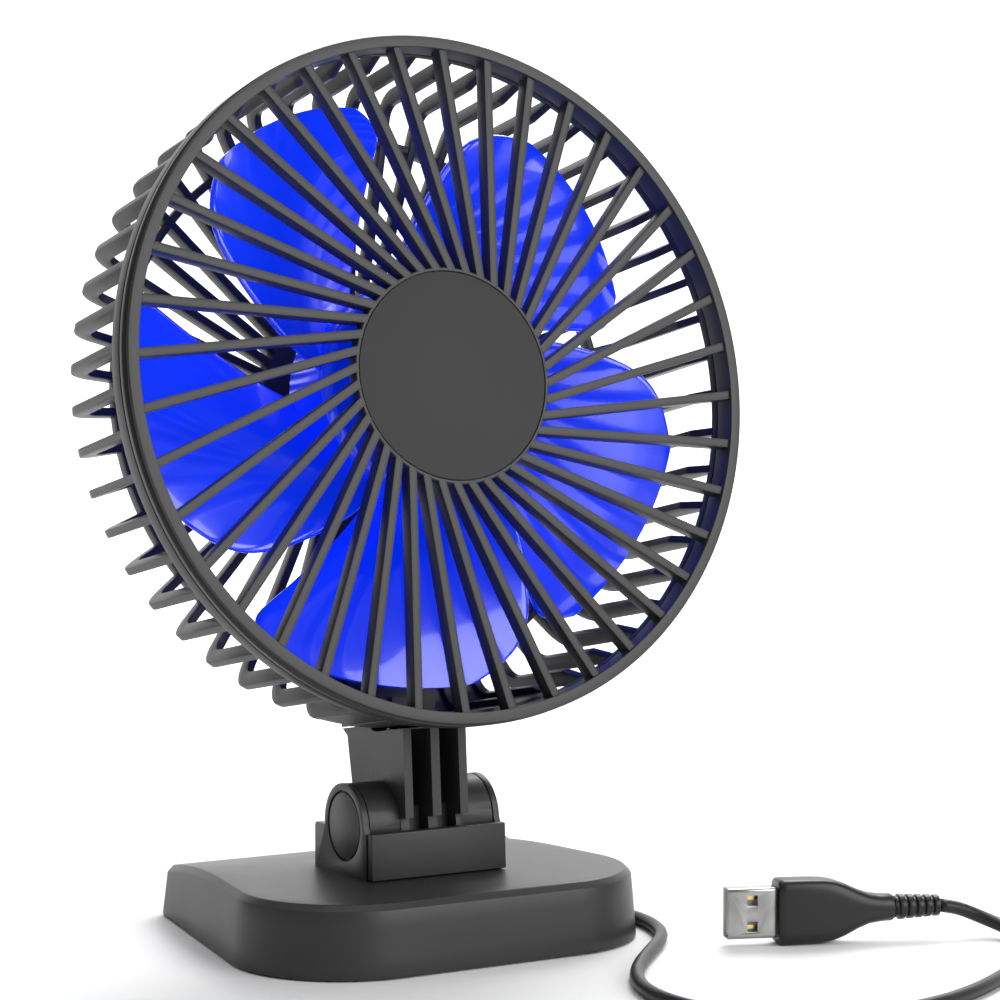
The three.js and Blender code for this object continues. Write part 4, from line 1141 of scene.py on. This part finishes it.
def plug_body():
    # along the body: distance, half width, half thickness, how square its section is
    stations = [
        (11.9, 2.9, 2.9, 2.2), (12.3, 3.2, 3.1, 2.3), (15, 3.3, 3.2, 2.4), (18, 3.7, 3.4, 2.6), (21, 4.8, 3.6, 3.0),
        (24, 6.2, 3.8, 3.6), (27, 7.2, 3.95, 4.4), (29.5, 7.6, 4.0, 5.0), (33, 7.7, 4.0, 5.5), (39, 7.75, 4.0, 5.5),
        (40.3, 7.65, 3.9, 5.5), (40.7, 7.3, 3.6, 5.5),
    ]
    rings = []
    for x, wide, thick, square in stations:
        ring = []
        for k in range(64):
            a = 2 * math.pi * k / 64
            c, s = math.cos(a), math.sin(a)
            y = math.copysign(abs(c) ** (2 / square), c) * wide
            z = math.copysign(abs(s) ** (2 / square), s) * thick
            ring.append((x, y, z))
        rings.append(ring)
    body = as_object("plug_body", lofted(rings))
    return placed(body, PLUG_PLACE, PLUG_BLACK, "base", ["usb_plug_body"], 50)


def plug_sleeve():
    profile = [(0, 0.3)]
    for k in range(5):
        x, r = 0.3 + 2.2 * k, 2.55 + 0.12 * k
        profile += [(r, x), (r, x + 1.3), (r - 0.6, x + 1.5), (r - 0.6, x + 2.0)]
    profile += [(2.9, 11.6), (0, 11.6)]
    sleeve = turned(rounded(profile, 0.15, 2), 40)
    sleeve.transform(Matrix.Rotation(-math.pi / 2, 4, "Z"))
    sleeve = as_object("plug_sleeve", sleeve)
    return placed(sleeve, PLUG_PLACE, PLUG_BLACK, "base", ["plug_relief"])


SHELL_START = 41.0  # along the plug
SHELL_END = 53.0


def plug_shell():
    def section(half, thick, corner):
        return rounded([(-half, -thick), (half, -thick), (half, thick), (-half, thick)], corner, 5)

    windows = []
    for s in (-1, 1):
        a, b = s * 3.1 - 1.2, s * 3.1 + 1.2
        near, far = SHELL_START + 4.8, SHELL_START + 7.3
        window = prism(rounded([(a, near), (b, near), (b, far), (a, far)], 0.15), -4, 0, 0, "z")
        window.transform(Matrix.Rotation(-math.pi / 2, 4, "Z") @ Matrix.Scale(-1, 4, (1, 0, 0)))
        windows.append(outward(window))
    inside = prism(section(5.65, 1.9, 0.4), SHELL_START + 0.6, SHELL_END + 1)
    shell = carved("plug_shell", [prism(section(6, 2.25, 0.7), SHELL_START, SHELL_END)], [inside, *windows], 0.08)
    return placed(shell, PLUG_PLACE, NICKEL, "base", ["usb_shell"])


def contact_tree():
    """Flat strips on each of the points it is given."""
    tree = Tree("contact_strips", {"Length": 6.6, "Width": 1.0, "Height": 0.12})
    g = tree.inputs
    strip = tree.add("GeometryNodeMeshCube", Size=tree.xyz(g["Length"], g["Width"], g["Height"]))
    tree.finish(tree.add("GeometryNodeInstanceOnPoints", Points=g["Geometry"], Instance=strip))
    return tree


def plug():
    body = plug_body()
    sleeve = plug_sleeve()
    shell = plug_shell()
    tongue = carved("plug_tongue", [block(SHELL_START + 0.9, SHELL_END - 0.5, -5.3, 5.3, -0.2, 1.6)], [], 0.15)
    tongue = placed(tongue, PLUG_PLACE, WHITE, "base", ["usb_tongue"])
    pins = points([(SHELL_START + 7.6, y, -0.26) for y in (-3.5, -1.0, 1.0, 3.5)])
    pins = placed(contact_tree().build("plug_contacts", {}, GOLD, pins), PLUG_PLACE, GOLD, "base")
    return [body, sleeve, shell, tongue, pins]


# ---------- floor ----------
def studio_floor():
    """A pale floor that curves up into a backdrop."""
    rows = [
        (-1.6, 0), (1.2, 0), (1.5, 0.02), (1.8, 0.1), (2.05, 0.25), (2.25, 0.5), (2.35, 0.8), (2.4, 1.3), (2.4, 2.6),
    ]
    bm = bmesh.new()
    lines = [[bm.verts.new((x, y, z)) for x in (-3.2, 3.2)] for y, z in rows]
    for a, b in zip(lines, lines[1:]):
        bm.faces.new((a[0], a[1], b[1], b[0]))
    bm.transform(Matrix.Rotation(-YAW, 4, "Z"))
    floor = as_object("studio_floor", bm)
    floor.data.materials.append(FLOOR)
    floor.data.shade_smooth()


front_grille()
rear_ring()
ribs_and_hoop()
motor_mount_and_spine()
rear_cover()
impeller()
motor()
neck()
hinge_bracket()
base_shell()
underside()
power_button()
screws()
cord()
studio_floor()
